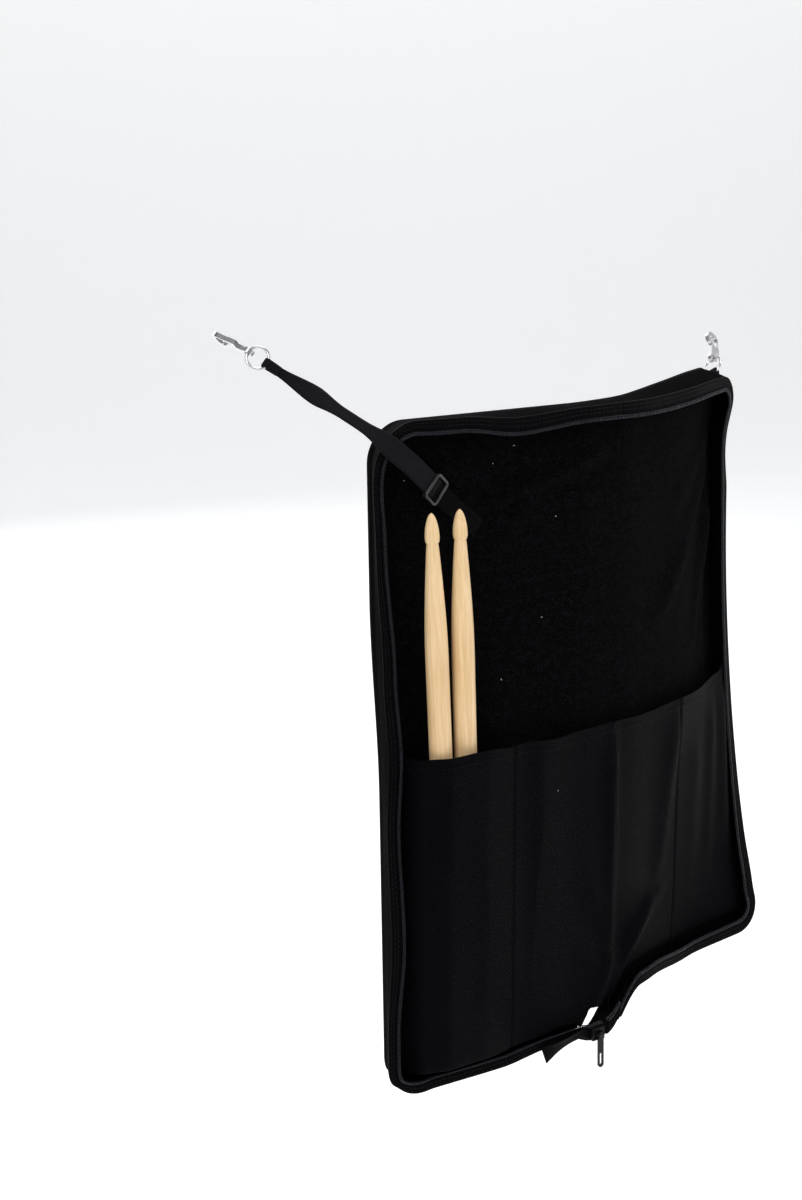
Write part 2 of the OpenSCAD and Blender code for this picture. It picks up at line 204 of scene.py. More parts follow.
# ---------------------------------------------------------------- meshes
def add_object(name, data):
    """An object with that data, in the scene."""
    obj = bpy.data.objects.new(name, data)
    bpy.context.scene.collection.objects.link(obj)
    return obj


def mesh_piece(name, points, faces, material, flat=None, sharp=None):
    """A mesh object. flat is the pattern coordinate of each point, which the weaves follow.

    Shading breaks at edges above sharp, in degrees.
    """
    data = bpy.data.meshes.new(name)
    data.from_pydata([tuple(p) for p in points], [], faces)
    data.validate()
    data.polygons.foreach_set("use_smooth", [True] * len(data.polygons))
    if sharp:
        data.set_sharp_from_angle(angle=math.radians(sharp))
    layer = data.attributes.new("flat", "FLOAT_VECTOR", "POINT")
    layer.data.foreach_set("vector", np.asarray(points if flat is None else flat, np.float32).ravel())
    data.materials.append(material)
    return add_object(name, data)


def grid_faces(rows, cols, close_cols=False, start=0, flip=False):
    """Faces between the points of a grid, row by row."""
    faces = []
    for i in range(rows - 1):
        for j in range(cols if close_cols else cols - 1):
            k = (j + 1) % cols
            quad = (start + i * cols + j, start + (i + 1) * cols + j,
                    start + (i + 1) * cols + k, start + i * cols + k)
            faces.append(quad[::-1] if flip else quad)
    return faces


def sweep(rows):
    """Faces of a tube whose rings are rows, an array of rings by points, with its ends closed."""
    n, m = rows.shape[:2]
    ends = [tuple(range(m)), tuple(range((n - 1) * m, n * m))[::-1]]
    return grid_faces(n, m, True) + ends


def sweep_pattern(s, across):
    """Pattern coordinates of a sweep's points: lengths s along it, and places across it."""
    along, across = np.meshgrid(s, across, indexing="ij")
    return np.stack([along, across, np.zeros_like(along)], 2).reshape(-1, 3)


def closed_sheet(front, back):
    """Points and faces of a closed sheet from two matching grids of points."""
    n, m = front.shape[:2]
    points = np.concatenate([front.reshape(-1, 3), back.reshape(-1, 3)])
    faces = grid_faces(n, m) + grid_faces(n, m, start=n * m, flip=True)
    edge = [(i, 0) for i in range(n)] + [(n - 1, j) for j in range(1, m)]
    edge += [(i, m - 1) for i in range(n - 2, -1, -1)] + [(0, j) for j in range(m - 2, 0, -1)]
    ring = [i * m + j for i, j in edge]
    for a, b in zip(ring, ring[1:] + ring[:1]):
        faces.append((b, a, a + n * m, b + n * m))
    return points, faces


# ---------------------------------------------------------------- the rim of a leaf
def rim_path(side, step, end):
    """Points (u, v), inward normals and lengths along a leaf's rim, from the spine's top to its bottom."""
    r = CORNER
    left, top, low = -EDGE, HEIGHT, 0.0
    legs = [
        ("line", (0, top), (left + r, top)),
        ("arc", (left + r, top - r), 90),
        ("line", (left, top - r), (left, low + r)),
        ("arc", (left + r, low + r), 180),
        ("line", (left + r, low), (-end, low)),
    ]
    points, normals, lengths, total = [], [], [], 0.0
    for kind, a, b in legs:
        length = math.dist(a, b) if kind == "line" else r * math.pi / 2
        count = max(int(round(length / step)), 1)
        for i in range(count):
            t = i / count
            if kind == "line":
                points.append((a[0] + (b[0] - a[0]) * t, a[1] + (b[1] - a[1]) * t))
                direction = ((b[0] - a[0]) / length, (b[1] - a[1]) / length)
                normals.append((-direction[1], direction[0]))
            else:
                angle = math.radians(b + 90 * t)
                points.append((a[0] + r * math.cos(angle), a[1] + r * math.sin(angle)))
                normals.append((-math.cos(angle), -math.sin(angle)))
            lengths.append(total + length * t)
        total += length
    points.append((-end, low))
    normals.append((0, 1))
    lengths.append(total)
    points, normals = np.array(points), np.array(normals)
    if side > 0:
        points[:, 0] *= -1
        normals[:, 0] *= -1
    return points, normals, np.array(lengths)


# The teeth's lean in mm at places along each edge of the leaves.
LEFT_LEAN = ((0, -7), (0.05, -7), (0.12, -1), (0.20, -4), (0.25, -1), (0.31, -5), (0.40, -11), (0.44, -13),
             (0.48, -5))
TOP_LEAN = ((-0.18, -3), (-0.14, -2), (-0.09, 4), (-0.03, 0), (0.06, 2), (0.15, 0))
RIGHT_LEAN = ((0, 0), (0.04, 6), (0.10, 9), (0.22, 12), (0.40, 13), (0.47, 0))
LOW_LEAN = ((-0.18, -2), (-0.11, -3), (-0.065, 3), (-0.035, 5))


def lean(points):
    """How far the zip's teeth sag in over the lining, or out, along the wavy edge of a leaf."""
    u, v = points[:, 0], points[:, 1]
    left = ease(-u, 0.168, 0.195) * through(v, LEFT_LEAN)
    top = ease(v, 0.455, 0.475) * ease(-np.abs(u), -0.195, -0.17) * through(u, TOP_LEAN)
    low = (u < 0) * ease(-v, -0.025, -0.005) * ease(u, -0.195, -0.17) * through(u, LOW_LEAN)
    right = ease(u, 0.168, 0.195) * through(v, RIGHT_LEAN)
    return (left + top + low + right) * MM


def shared_lean(points, inset, out):
    """The part of the lean that a spot of the rim takes: the band's front two thirds, the teeth all."""
    share = 0.65 + 0.35 * np.clip(inset / 0.010, 0, 1.1)
    return lean(points)[:, None] * share * np.clip(out / BAND_FRONT, 0, 1.1)[None, :]


def rim_points(path, section, bump=None):
    """Flat points of a profile swept along the rim. section is a list of (inset, w)."""
    points, normals, lengths = path
    inset = np.array([s[0] for s in section])
    out = np.array([s[1] for s in section])
    if bump is not None:
        inset = inset[None, :] + bump(lengths)[:, None] * np.array([s[2] for s in section])
    else:
        inset = np.broadcast_to(inset, (len(points), len(section)))
    shift = inset + shared_lean(points, inset, out)
    uv = points[:, None, :] + normals[:, None, :] * shift[:, :, None]
    w = np.broadcast_to(out, shift.shape)
    return np.concatenate([uv, w[:, :, None]], 2)


def beside_rim(path, inset, w):
    """Points of the pattern that run along a rim path, that far inside it and at that w."""
    points, normals, _ = path
    inset, w = np.broadcast_to(inset, len(points)), np.broadcast_to(w, len(points))
    return np.concatenate([points + normals * inset[:, None], w[:, None]], 1)


def rim_piece(name, side, material, section, step, end, bump=None):
    """A piece whose section runs along the whole rim of a leaf."""
    path = rim_path(side, step, end)
    rows = rim_points(path, section, bump)
    pattern = sweep_pattern(path[2], [s[0] + s[1] for s in section])
    faces = sweep(rows)
    if side > 0:
        faces = [f[::-1] for f in faces]
    return mesh_piece(name, place(rows), faces, material, pattern)


SIDES = {"left": -1, "right": 1}


def over_spine(piece, side):
    """Bakes the transform of a piece of one half into its mesh, alike for both halves."""
    if side == "left":
        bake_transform(piece)
    else:
        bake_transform(piece)


def settle(piece, slot, *nodes, side=None, body=None):
    """Says what moves a piece, and the CAD nodes that it stands for; slot is not used."""
    if side:
        over_spine(piece, side)
    else:
        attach(piece, body)
    if nodes:
        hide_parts(*nodes)


# ---------------------------------------------------------------- materials
class Paint:
    """A material and the few node steps that the finishes here share."""

    def __init__(self, name, color, rough, **sockets):
        self.material = bpy.data.materials.new(name)
        self.material.use_nodes = True
        self.nodes = self.material.node_tree.nodes
        self.links = self.material.node_tree.links
        self.shader = self.nodes["Principled BSDF"]
        self.shader.inputs["Base Color"].default_value = (*color, 1)
        self.shader.inputs["Roughness"].default_value = rough
        for key, value in sockets.items():
            self.shader.inputs[key.replace("_", " ")].default_value = value
        self.material.diffuse_color = (*color, 1)

    def node(self, kind, **settings):
        """A shader node with those settings."""
        made = self.nodes.new(kind)
        for key, value in settings.items():
            setattr(made, key, value)
        return made

    def put(self, value, socket):
        """Links a socket to an input, or sets the input to a number."""
        if isinstance(value, bpy.types.NodeSocket):
            self.links.new(value, socket)
        else:
            socket.default_value = value

    def math(self, operation, a, b=0.0):
        """One step of arithmetic, as a socket."""
        made = self.node("ShaderNodeMath", operation=operation)
        self.put(a, made.inputs[0])
        self.put(b, made.inputs[1])
        return made.outputs[0]

    def flat(self):
        """The pattern coordinates as two numbers, in metres."""
        got = self.node("ShaderNodeAttribute", attribute_name="flat")
        parts = self.node("ShaderNodeSeparateXYZ")
        self.links.new(got.outputs["Vector"], parts.inputs[0])
        return parts.outputs[0], parts.outputs[1]

    def flat_vector(self):
        """The pattern coordinates as a vector."""
        return self.node("ShaderNodeAttribute", attribute_name="flat").outputs["Vector"]

    def object_vector(self):
        """The object's own coordinates as a vector."""
        return self.node("ShaderNodeTexCoord").outputs["Object"]

    def noise(self, vector, scale, detail=3.0, rough=0.5):
        """A noise texture on a vector."""
        made = self.node("ShaderNodeTexNoise")
        self.links.new(vector, made.inputs["Vector"])
        made.inputs["Scale"].default_value = scale
        made.inputs["Detail"].default_value = detail
        made.inputs["Roughness"].default_value = rough
        return made.outputs["Fac"]

    def ramp(self, value, low, high, a, b):
        """A value from low to high turned into a number from a to b."""
        made = self.node("ShaderNodeMapRange")
        self.put(value, made.inputs["Value"])
        for key, number in (("From Min", low), ("From Max", high), ("To Min", a), ("To Max", b)):
            made.inputs[key].default_value = number
        return made.outputs[0]

    def tint(self, value, dark, light):
        """Colour from dark to light as value goes from 0 to 1."""
        made = self.node("ShaderNodeMix", data_type="RGBA")
        self.put(value, made.inputs["Factor"])
        made.inputs[6].default_value = (*dark, 1)
        made.inputs[7].default_value = (*light, 1)
        self.links.new(made.outputs[2], self.shader.inputs["Base Color"])
        return made.outputs[2]

    def bump(self, height, distance, strength=1.0):
        """Adds the height to the surface's relief, on top of what is there."""
        made = self.node("ShaderNodeBump")
        made.inputs["Strength"].default_value = strength
        made.inputs["Distance"].default_value = distance
        self.put(height, made.inputs["Height"])
        before = self.shader.inputs["Normal"]
        if before.is_linked:
            self.links.new(before.links[0].from_socket, made.inputs["Normal"])
        self.links.new(made.outputs[0], before)

    def weave(self, u, v, pitch):
        """Height of a plain weave with that distance between its threads."""
        a = self.math("SINE", self.math("MULTIPLY", u, math.pi / pitch))
        b = self.math("SINE", self.math("MULTIPLY", v, math.pi / pitch))
        return self.math("MULTIPLY", a, b)

    def rough_from(self, value):
        """Takes the roughness from a socket."""
        self.links.new(value, self.shader.inputs["Roughness"])


def woven(name, dark, light, pitch, rough, depth, specular, sheen):
    """Plain woven cloth on pattern coordinates, with slightly uneven threads and dye, and painted shade in
    the weave's hollows.
    """
    paint = Paint(name, light, rough, Specular_IOR_Level=specular, Sheen_Weight=sheen, Sheen_Roughness=0.4)
    u, v = paint.flat()
    threads = paint.weave(u, v, pitch * MM)
    blotch = paint.noise(paint.flat_vector(), 45, 4)
    fine = paint.noise(paint.flat_vector(), 2600, 2)
    # The tint rises with the threads' height, as the bump does: painted shade in the weave's hollows against
    # its crests. The fine noise and the blotches are uneven threads and dye.
    lit = paint.math("ADD", paint.ramp(threads, -1, 1, 0, 0.55), paint.ramp(fine, 0.3, 0.7, 0, 0.3))
    lit = paint.math("MULTIPLY", lit, paint.ramp(blotch, 0.3, 0.7, 0.8, 1.2))
    paint.tint(lit, dark, light)
    paint.bump(threads, depth * MM, 0.8)
    paint.bump(fine, depth * MM * 0.5, 0.3)
    paint.rough_from(paint.ramp(fine, 0.2, 0.8, rough - 0.08, rough + 0.08))
    return paint.material


def brushed_lining():
    """Napped knit: soft mottled pile, painted lighter where it stands higher: a painted highlight on the
    fibre ends and painted shade between them.
    """
    paint = Paint("lining", (0.0010, 0.0010, 0.0013), 0.95, Specular_IOR_Level=0.01,
                  Sheen_Weight=0.006, Sheen_Roughness=0.6)
    vector = paint.flat_vector()
    pile = paint.noise(vector, 620, 5, 0.7)
    clumps = paint.noise(vector, 160, 4, 0.6)
    # The tint follows the height of the pile and its clumps: painted highlight on the raised pile, painted
    # shade in its hollows.
    lit = paint.math("MULTIPLY", paint.ramp(pile, 0.42, 0.68, 0, 1), paint.ramp(clumps, 0.3, 0.7, 0.35, 1.4))
    paint.tint(lit, (0.0002, 0.0002, 0.0003), (0.0042, 0.0042, 0.0054))
    paint.bump(pile, 0.6 * MM, 0.7)
    paint.bump(clumps, 0.8 * MM, 0.35)
    return paint.material


def ribbed_band():
    """Grosgrain side band: its ribs are in the mesh, and its fine warp is here. The grooves between the ribs
    are painted darker as shade.
    """
    paint = Paint("side_band", (0.004, 0.004, 0.004), 0.72, Specular_IOR_Level=0.012, Sheen_Weight=0.0)
    along, across = paint.flat()
    rib = paint.math("COSINE", paint.math("MULTIPLY", along, 2 * math.pi / RIB_PITCH))
    warp = paint.math("SINE", paint.math("MULTIPLY", across, math.pi / (0.55 * MM)))
    fine = paint.noise(paint.flat_vector(), 1500, 3)
    # Darker in the grooves between the ribs than on their crests: painted shade.
    lit = paint.math("MULTIPLY", paint.ramp(rib, -1, 1, 0.15, 1), paint.ramp(fine, 0.25, 0.75, 0.6, 1.25))
    paint.tint(lit, (0.0002, 0.0002, 0.0003), (0.0030, 0.0030, 0.0036))
    paint.bump(warp, 0.15 * MM, 0.5)
    paint.bump(fine, 0.2 * MM, 0.4)
    return paint.material


def shade(color, by):
    """The colour made darker or lighter."""
    return tuple(c * by for c in color)


def satin_plastic(name, color, rough, grain=0.05 * MM, specular=0.5):
    """Moulded plastic with a fine grain and slight wear."""
    paint = Paint(name, color, rough, Specular_IOR_Level=specular)
    texture = paint.noise(paint.object_vector(), 1800, 3)
    wear = paint.noise(paint.object_vector(), 120, 4)
    paint.bump(texture, grain, 0.35)
    paint.rough_from(paint.ramp(wear, 0.3, 0.7, rough - 0.08, rough + 0.1))
    paint.tint(paint.ramp(wear, 0.35, 0.7, 0, 1), shade(color, 0.8), shade(color, 1.2))
    return paint.material


def coil_nylon():
    """Glossy nylon of the zip's coil, a little blue."""
    paint = Paint("zip_coil", (0.004, 0.0048, 0.0085), 0.24, Specular_IOR_Level=0.26)
    haze = paint.noise(paint.object_vector(), 260, 3)
    paint.tint(paint.ramp(haze, 0.3, 0.7, 0, 1), (0.0022, 0.0027, 0.0048), (0.0055, 0.0068, 0.0120))
    return paint.material


def metal(name, color, rough):
    """Bare or plated metal with a faint haze."""
    paint = Paint(name, color, rough, Metallic=1.0)
    haze = paint.noise(paint.object_vector(), 220, 5, 0.6)
    fine = paint.noise(paint.object_vector(), 3200, 2)
    paint.rough_from(paint.ramp(haze, 0.3, 0.75, rough, rough + 0.12))
    paint.bump(fine, 0.03 * MM, 0.25)
    paint.tint(paint.ramp(haze, 0.3, 0.7, 0, 1), shade(color, 0.86), color)
    return paint.material


def maple():
    """Lacquered maple: long grain, short pores and a slow change of tone round the stick."""
    paint = Paint("maple", (0.80, 0.61, 0.37), 0.42, Specular_IOR_Level=0.35, Coat_Weight=0.12,
                  Coat_Roughness=0.3)
    mapping = paint.node("ShaderNodeMapping")
    paint.links.new(paint.flat_vector(), mapping.inputs["Vector"])
    mapping.inputs["Scale"].default_value = (1.0, 1.0, 0.035)
    grain = paint.noise(mapping.outputs[0], 620, 5, 0.6)
    pores = paint.noise(mapping.outputs[0], 2400, 2)
    tone = paint.noise(paint.flat_vector(), 16, 3)
    lit = paint.math("ADD", paint.ramp(grain, 0.3, 0.72, 0, 0.65), paint.ramp(tone, 0.3, 0.7, 0, 0.35))
    lit = paint.math("MULTIPLY", lit, paint.ramp(pores, 0.30, 0.42, 0.75, 1.0))
    paint.tint(lit, (0.58, 0.37, 0.17), (0.80, 0.61, 0.37))
    paint.bump(grain, 0.08 * MM, 0.3)
    return paint.material


# Each cloth's colour in the weave's hollows, darkened as painted shade, and on its crests, the threads'
# pitch in mm, roughness, depth in mm, specular and sheen.
WOVEN = {
    "outer_fabric": ((0.0018, 0.0018, 0.0022), (0.0080, 0.0080, 0.0092), 0.9, 0.62, 0.22, 0.05, 0.008),
    "pocket_fabric": ((0.0002, 0.0002, 0.0004), (0.0026, 0.0026, 0.0040), 1.1, 0.5, 0.35, 0.019, 0.002),
    "zip_tape": ((0.0004, 0.0004, 0.0006), (0.0028, 0.0028, 0.0036), 0.55, 0.6, 0.1, 0.02, 0.0),
    "webbing": ((0.0015, 0.0015, 0.0022), (0.0088, 0.0084, 0.0105), 0.8, 0.55, 0.25, 0.05, 0.006),
    # This entry is the webbing made darker as painted shade, for the strap's root below the adjuster and for
    # the sewn patches.
    "patch_web": ((0.0008, 0.0008, 0.0010), (0.0036, 0.0036, 0.0044), 0.8, 0.6, 0.25, 0.02, 0.0),
}

PAINTS = {
    **{name: woven(name, *values) for name, values in WOVEN.items()},
    "thread": satin_plastic("thread", (0.0025, 0.0025, 0.0030), 0.5, specular=0.08),
    "lint": satin_plastic("lint", (0.30, 0.30, 0.31), 0.8, specular=0.1),
    "lining": brushed_lining(),
    "side_band": ribbed_band(),
    "zip_coil": coil_nylon(),
    "black_plastic": satin_plastic("black_plastic", (0.006, 0.006, 0.007), 0.26, specular=0.4),
    "slider_paint": satin_plastic("slider_paint", (0.003, 0.003, 0.0035), 0.4, 0.02 * MM, 0.12),
    "nickel": metal("nickel", (0.62, 0.62, 0.64), 0.18),
    "pull_metal": metal("pull_metal", (0.024, 0.024, 0.027), 0.32),
    "maple": maple(),
}


# ---------------------------------------------------------------- leaves: linings, covers and rims
def half_sheet(name, side, front, back, paint):
    """A closed sheet of one half, from two grids of points on the pattern."""
    points, faces = closed_sheet(front, back)
    if side == "left":
        faces = [f[::-1] for f in faces]
    return mesh_piece(name, place(points), faces, PAINTS[paint], points, SHEET_SHARP)


def leaf_columns(side, inset):
    """Values of u from a leaf's outer edge to the spine's middle, close together round the corners."""
    r = CORNER - inset
    corner = [EDGE - inset - r * (1 - math.cos(t)) for t in np.linspace(0, math.pi / 2, 11)[:-1]]
    start = EDGE - inset - r
    rest = list(np.linspace(start, 0, int(start / COLUMN_STEP) + 1))
    return np.array([side * u for u in corner + rest])


def column_ends(u, inset, notch=NOTCH):
    """Lowest and highest v of a leaf's column at u, with the notch below the spine."""
    r = CORNER - inset
    d = np.clip(EDGE - inset - np.abs(u), 0, r)
    rise = r - np.sqrt(np.maximum(r * r - (r - d) ** 2, 0))
    cut = notch * ease(u, *NOTCH_LEFT) * (1 - ease(u, *NOTCH_RIGHT))
    return np.maximum(inset + rise, cut), HEIGHT - inset - rise


def leaf_grid(side, inset, rows):
    """The u and v of a leaf's grid of points, that far inside its rim."""
    u = leaf_columns(side, inset)
    bottom, top = column_ends(u, inset)
    t = np.linspace(0, 1, rows)
    v = bottom[:, None] + (top - bottom)[:, None] * t[None, :]
    return np.broadcast_to(u[:, None], v.shape), v


def ridge(u, v, start, end, width, height):
    """A fold that runs from start to end on the pattern and fades at both ends."""
    a, b = np.array(start), np.array(end)
    d = b - a
    t = ((u - a[0]) * d[0] + (v - a[1]) * d[1]) / (d @ d)
    away = np.abs((u - a[0]) * d[1] - (v - a[1]) * d[0]) / np.linalg.norm(d)
    fade = ease(t, -0.12, 0.18) * (1 - ease(t, 0.72, 1.12))
    return height * fade * np.exp(-((away / width) ** 2))


def folded(u, v, folds):
    """Height of a list of folds, each of them a ridge."""
    return sum(ridge(u, v, *fold) for fold in folds)


# Folds of the lining: where each starts and ends, its width and its height.
LINING_FOLDS = [
    ((-0.112, 0.416), (0.000, 0.446), 0.0045, 0.0044),
    ((-0.118, 0.406), (0.010, 0.432), 0.0045, -0.0022),
    ((-0.105, 0.398), (-0.060, 0.420), 0.004, 0.0030),
    ((0.180, 0.425), (0.060, 0.300), 0.010, 0.0040),
    ((0.184, 0.440), (0.090, 0.390), 0.008, 0.0030),
    ((0.186, 0.400), (0.120, 0.262), 0.009, 0.0038),
    ((0.172, 0.380), (0.150, 0.262), 0.006, 0.0030),
    ((0.150, 0.455), (0.020, 0.465), 0.006, 0.0018),
]
SEAMS_SEEN = (-0.102, 0.087)


def lining_relief(u, v):
    """Slack and folds of the lining."""
    free = ease(EDGE - np.abs(u), 0.004, 0.03) * ease(v, 0.0, 0.03) * ease(HEIGHT - v, 0.004, 0.03)
    soft = 0.0010 * np.sin(u * 31 + v * 9) * np.sin(v * 17 - u * 6)
    folds = folded(u, v, LINING_FOLDS)
    pulled = 0.006 * np.exp(-(((u - SEAMS_SEEN[0]) / 0.018) ** 2)) * (1 - ease(v, 0.20, 0.30))
    return free * (soft + folds + 0.0012 + pulled)


def make_lining(side):
    """The lining of one half, from the rim to the middle of the spine."""
    u, v = leaf_grid(SIDES[side], LINING_INSET, rows=112)
    w = lining_relief(u, v)
    front, back = np.stack([u, v, w], 2), np.stack([u, v, w - LINING_THICK], 2)
    piece = half_sheet(f"{side}_lining_cloth", side, front, back, "lining")
    over_spine(piece, side)
    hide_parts(f"{side}_lining", *(["spine_lining"] if side == "left" else []))


def inflate(piece, pinned, pressure, frames, cap):
    """Cloth simulation with air inside. Pinned points stay, and none moves further than cap."""
    data = piece.data
    start = np.empty(len(data.vertices) * 3)
    data.vertices.foreach_get("co", start)
    start = start.reshape(-1, 3)
    group = piece.vertex_groups.new(name="pinned")
    group.add([int(i) for i in np.flatnonzero(pinned)], 1.0, "REPLACE")
    cloth = add_modifier(piece, "CLOTH")
    rules = cloth.settings
    rules.quality = 5
    rules.mass = 0.2
    rules.use_pressure = True
    rules.uniform_pressure_force = pressure
    rules.vertex_group_mass = "pinned"
    rules.tension_stiffness = rules.compression_stiffness = 8
    rules.bending_stiffness = 0.3
    rules.effector_weights.gravity = 0
    cloth.collision_settings.use_collision = False
    cloth.point_cache.frame_start, cloth.point_cache.frame_end = 1, frames
    scene = bpy.context.scene
    for step in range(1, frames + 1):
        scene.frame_set(step)
    swollen = piece.evaluated_get(bpy.context.evaluated_depsgraph_get()).data
    end = np.empty(len(swollen.vertices) * 3)
    swollen.vertices.foreach_get("co", end)
    moved = end.reshape(-1, 3) - start
    reach = np.maximum(np.linalg.norm(moved, axis=1), 1e-9)
    start += moved * np.minimum(1, cap / reach)[:, None]
    piece.modifiers.remove(cloth)
    piece.vertex_groups.remove(group)
    data.vertices.foreach_set("co", start.ravel())
    data.update()
    scene.frame_set(1)


def cover_puff(u, v):
    """How far the padded back stands behind its rim: soft cushions between the rim and the spine's seams."""
    edge = np.minimum.reduce([EDGE - np.abs(u), v, HEIGHT - v])
    seam = 1 - np.exp(-(((np.abs(u) - FOLD_X) / 0.0045) ** 2))
    return PUFF * ease(edge, 0.001, 0.022) * (0.35 + 0.65 * seam)


def make_cover(side):
    """The padded shell of one half, from its rim to the middle of the spine."""
    u, v = leaf_grid(SIDES[side], COVER_INSET, rows=100)
    puff = cover_puff(u, v)
    slack = 0.0006 * np.sin(u * 43 + v * 21) * np.sin(v * 37 - u * 12) * ease(puff, 0.001, 0.003)
    front = np.stack([u, v, np.full_like(v, COVER_FRONT)], 2)
    back = np.stack([u, v, -COVER_BACK - puff + slack], 2)
    piece = half_sheet(f"{side}_cover_shell", side, front, back, "outer_fabric")
    held = np.concatenate([np.ones(u.size, bool), puff.ravel() < PUFF_HELD])
    inflate(piece, held, pressure=3.0, frames=16, cap=0.0030)
    over_spine(piece, side)
    nodes = [f"{side}_cover", f"{side}_padding"] + (["spine_cover"] if side == "left" else [])
    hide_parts(*nodes)
    make_piping(side)


def make_piping(side):
    """A covered cord along the back of the rim, with the spine's two rows of stitches."""
    cord, sides = 1.5 * MM, 10
    path = rim_path(SIDES[side], 0.0015, BAND_END[side])
    rows = tube_rings(place(beside_rim(path, 0.0008, -COVER_BACK)), cord, sides)
    flat = sweep_pattern(path[2], np.linspace(0, 6 * cord, sides))
    piece = mesh_piece(f"{side}_piping", rows.reshape(-1, 3), sweep(rows), PAINTS["outer_fabric"], flat)
    settle(piece, "outer_fabric", side=side)
    rows = []
    for offset in (-1.5 * MM, 1.5 * MM):
        v = np.linspace(SPINE_BOTTOM + 0.004, HEIGHT - 0.006, 160)
        u = np.full_like(v, SIDES[side] * (FOLD_X + offset))
        rows.append((np.stack([u, v, -COVER_BACK - cover_puff(u, v)], 1), -0.15 * MM))
    stitches(f"{side}_spine_stitches", rows, side=side, slot="outer_fabric")


def ribs(s):
    """Depth of the side band's ribs, at a length along the rim."""
    return -RIB_DEPTH * (0.5 + 0.5 * np.cos(s * 2 * math.pi / RIB_PITCH))


def make_band(side):
    """The ribbed side band. Its section is (inset, w, share of the ribs), from the back to the front."""
    section = [
        (0.0002, -0.0058, 0.2), (0.0000, -0.0040, 1), (-0.0003, 0.0000, 1), (-0.0004, 0.0040, 1),
        (-0.0004, 0.0080, 1), (-0.0002, 0.0115, 1), (0.0001, 0.0135, 0.7), (0.0010, 0.0145, 0),
        (0.0020, 0.0140, 0), (0.0022, 0.0080, 0), (0.0020, -0.0040, 0),
    ]
    piece = rim_piece(f"{side}_band_cloth", SIDES[side], PAINTS["side_band"], section, RIB_PITCH / 4,
                      BAND_END[side], ribs)
    settle(piece, "side_band", f"{side}_side_band", side=side)


def make_tape(side):
    """The zip's tape, sewn on the band's front edge. Its section is (inset, w)."""
    section = [
        (-0.0002, 0.0136), (0.0000, 0.0150), (0.0010, 0.0156), (0.0022, 0.0153), (0.0050, 0.0154),
        (0.0084, 0.0150), (0.0090, 0.0146), (0.0084, 0.0142), (0.0050, 0.0144), (0.0012, 0.0142),
    ]
    piece = rim_piece(f"{side}_tape_cloth", SIDES[side], PAINTS["zip_tape"], section, 0.002, TEETH_END[side])
    settle(piece, "zip_tape", f"{side}_zip_tape", side=side)


def make_coil(side):
    """The coil: one nylon wire wound along the tape's inner edge."""
    pitch, turn_points, sides = 1.5 * MM, 10, 5
    wide, high, wire = 1.35 * MM, 1.0 * MM, 0.40 * MM
    inset, out = 10.0 * MM, 15.2 * MM
    path = rim_path(SIDES[side], pitch / turn_points, TEETH_END[side])
    phase = path[2] * 2 * math.pi / pitch
    shift = inset + wide * np.cos(phase) + lean(path[0])
    line = beside_rim(path, shift, out + high * np.sin(phase))
    piece = mesh_piece(f"{side}_coil_wire", *tube(place(line), wire, sides)[:2], PAINTS["zip_coil"])
    tail = ["zip_tail"] if side == "left" else []
    settle(piece, "zip_coil", f"{side}_zip_coil", *tail, side=side)


def tube_rings(centre, radius, sides):
    """Rings of points round a line of points. radius may be one number or one per point."""
    centre = np.asarray(centre, float)
    along = np.gradient(centre, axis=0)
    along /= np.linalg.norm(along, axis=1)[:, None]
    frames = np.zeros((len(centre), 2, 3))
    side = np.cross(along[0], [0.3, 0.2, 0.93])
    side /= np.linalg.norm(side)
    for i, t in enumerate(along):
        side = side - (side @ t) * t
        side /= np.linalg.norm(side)
        frames[i] = side, np.cross(t, side)
    angle = np.linspace(0, 2 * math.pi, sides, endpoint=False)
    r = np.broadcast_to(radius, len(centre))[:, None, None]
    ring = np.cos(angle)[None, :, None] * frames[:, None, 0]
    ring = ring + np.sin(angle)[None, :, None] * frames[:, None, 1]
    return centre[:, None, :] + ring * r


def tube(centre, radius, sides, flat=None):
    """Points, faces and pattern coordinates of a closed tube round a line of points."""
    rows = tube_rings(centre, radius, sides)
    points = rows.reshape(-1, 3)
    return points, sweep(rows), points if flat is None else flat


def joined(parts):
    """Several meshes as one. Each part is points, faces and pattern coordinates."""
    faces, start = [], 0
    for points, part_faces, _ in parts:
        faces += [tuple(i + start for i in face) for face in part_faces]
        start += len(points)
    return np.concatenate([p[0] for p in parts]), faces, np.concatenate([p[2] for p in parts])


def thread_piece(name, parts, paint="thread"):
    """One mesh object from several short tubes."""
    points, faces, flat = joined(parts)
    return mesh_piece(name, points, faces, PAINTS[paint], flat)


def stitch_row(flat_line, out):
    """A row of stitches along a line on the pattern, rising by out in the middle of each stitch."""
    length, gap, radius = 2.6 * MM, 1.0 * MM, 0.28 * MM
    line = np.asarray(flat_line, float)
    s = distances(line[:, :2])
    rise, taper = out * np.array([0, 0.8, 1, 0.8, 0]), radius * np.array([0.15, 0.8, 1, 0.8, 0.15])
    parts = []
    x = gap / 2
    while x + length < s[-1]:
        spots = np.linspace(x, x + length, len(taper))
        uvw = np.stack([np.interp(spots, s, line[:, k]) for k in range(3)], 1)
        uvw[:, 2] += rise
        parts.append(tube(place(uvw), taper, THREAD_SIDES, np.repeat(uvw, THREAD_SIDES, 0)))
        x += length + gap
    return joined(parts)


def stitches(name, rows, body=None, side=None, slot="zip_tape"):
    """One piece with several rows of stitches. Each row is (line on the pattern, height)."""
    piece = thread_piece(name, [stitch_row(line, out) for line, out in rows])
    settle(piece, slot, side=side, body=body)


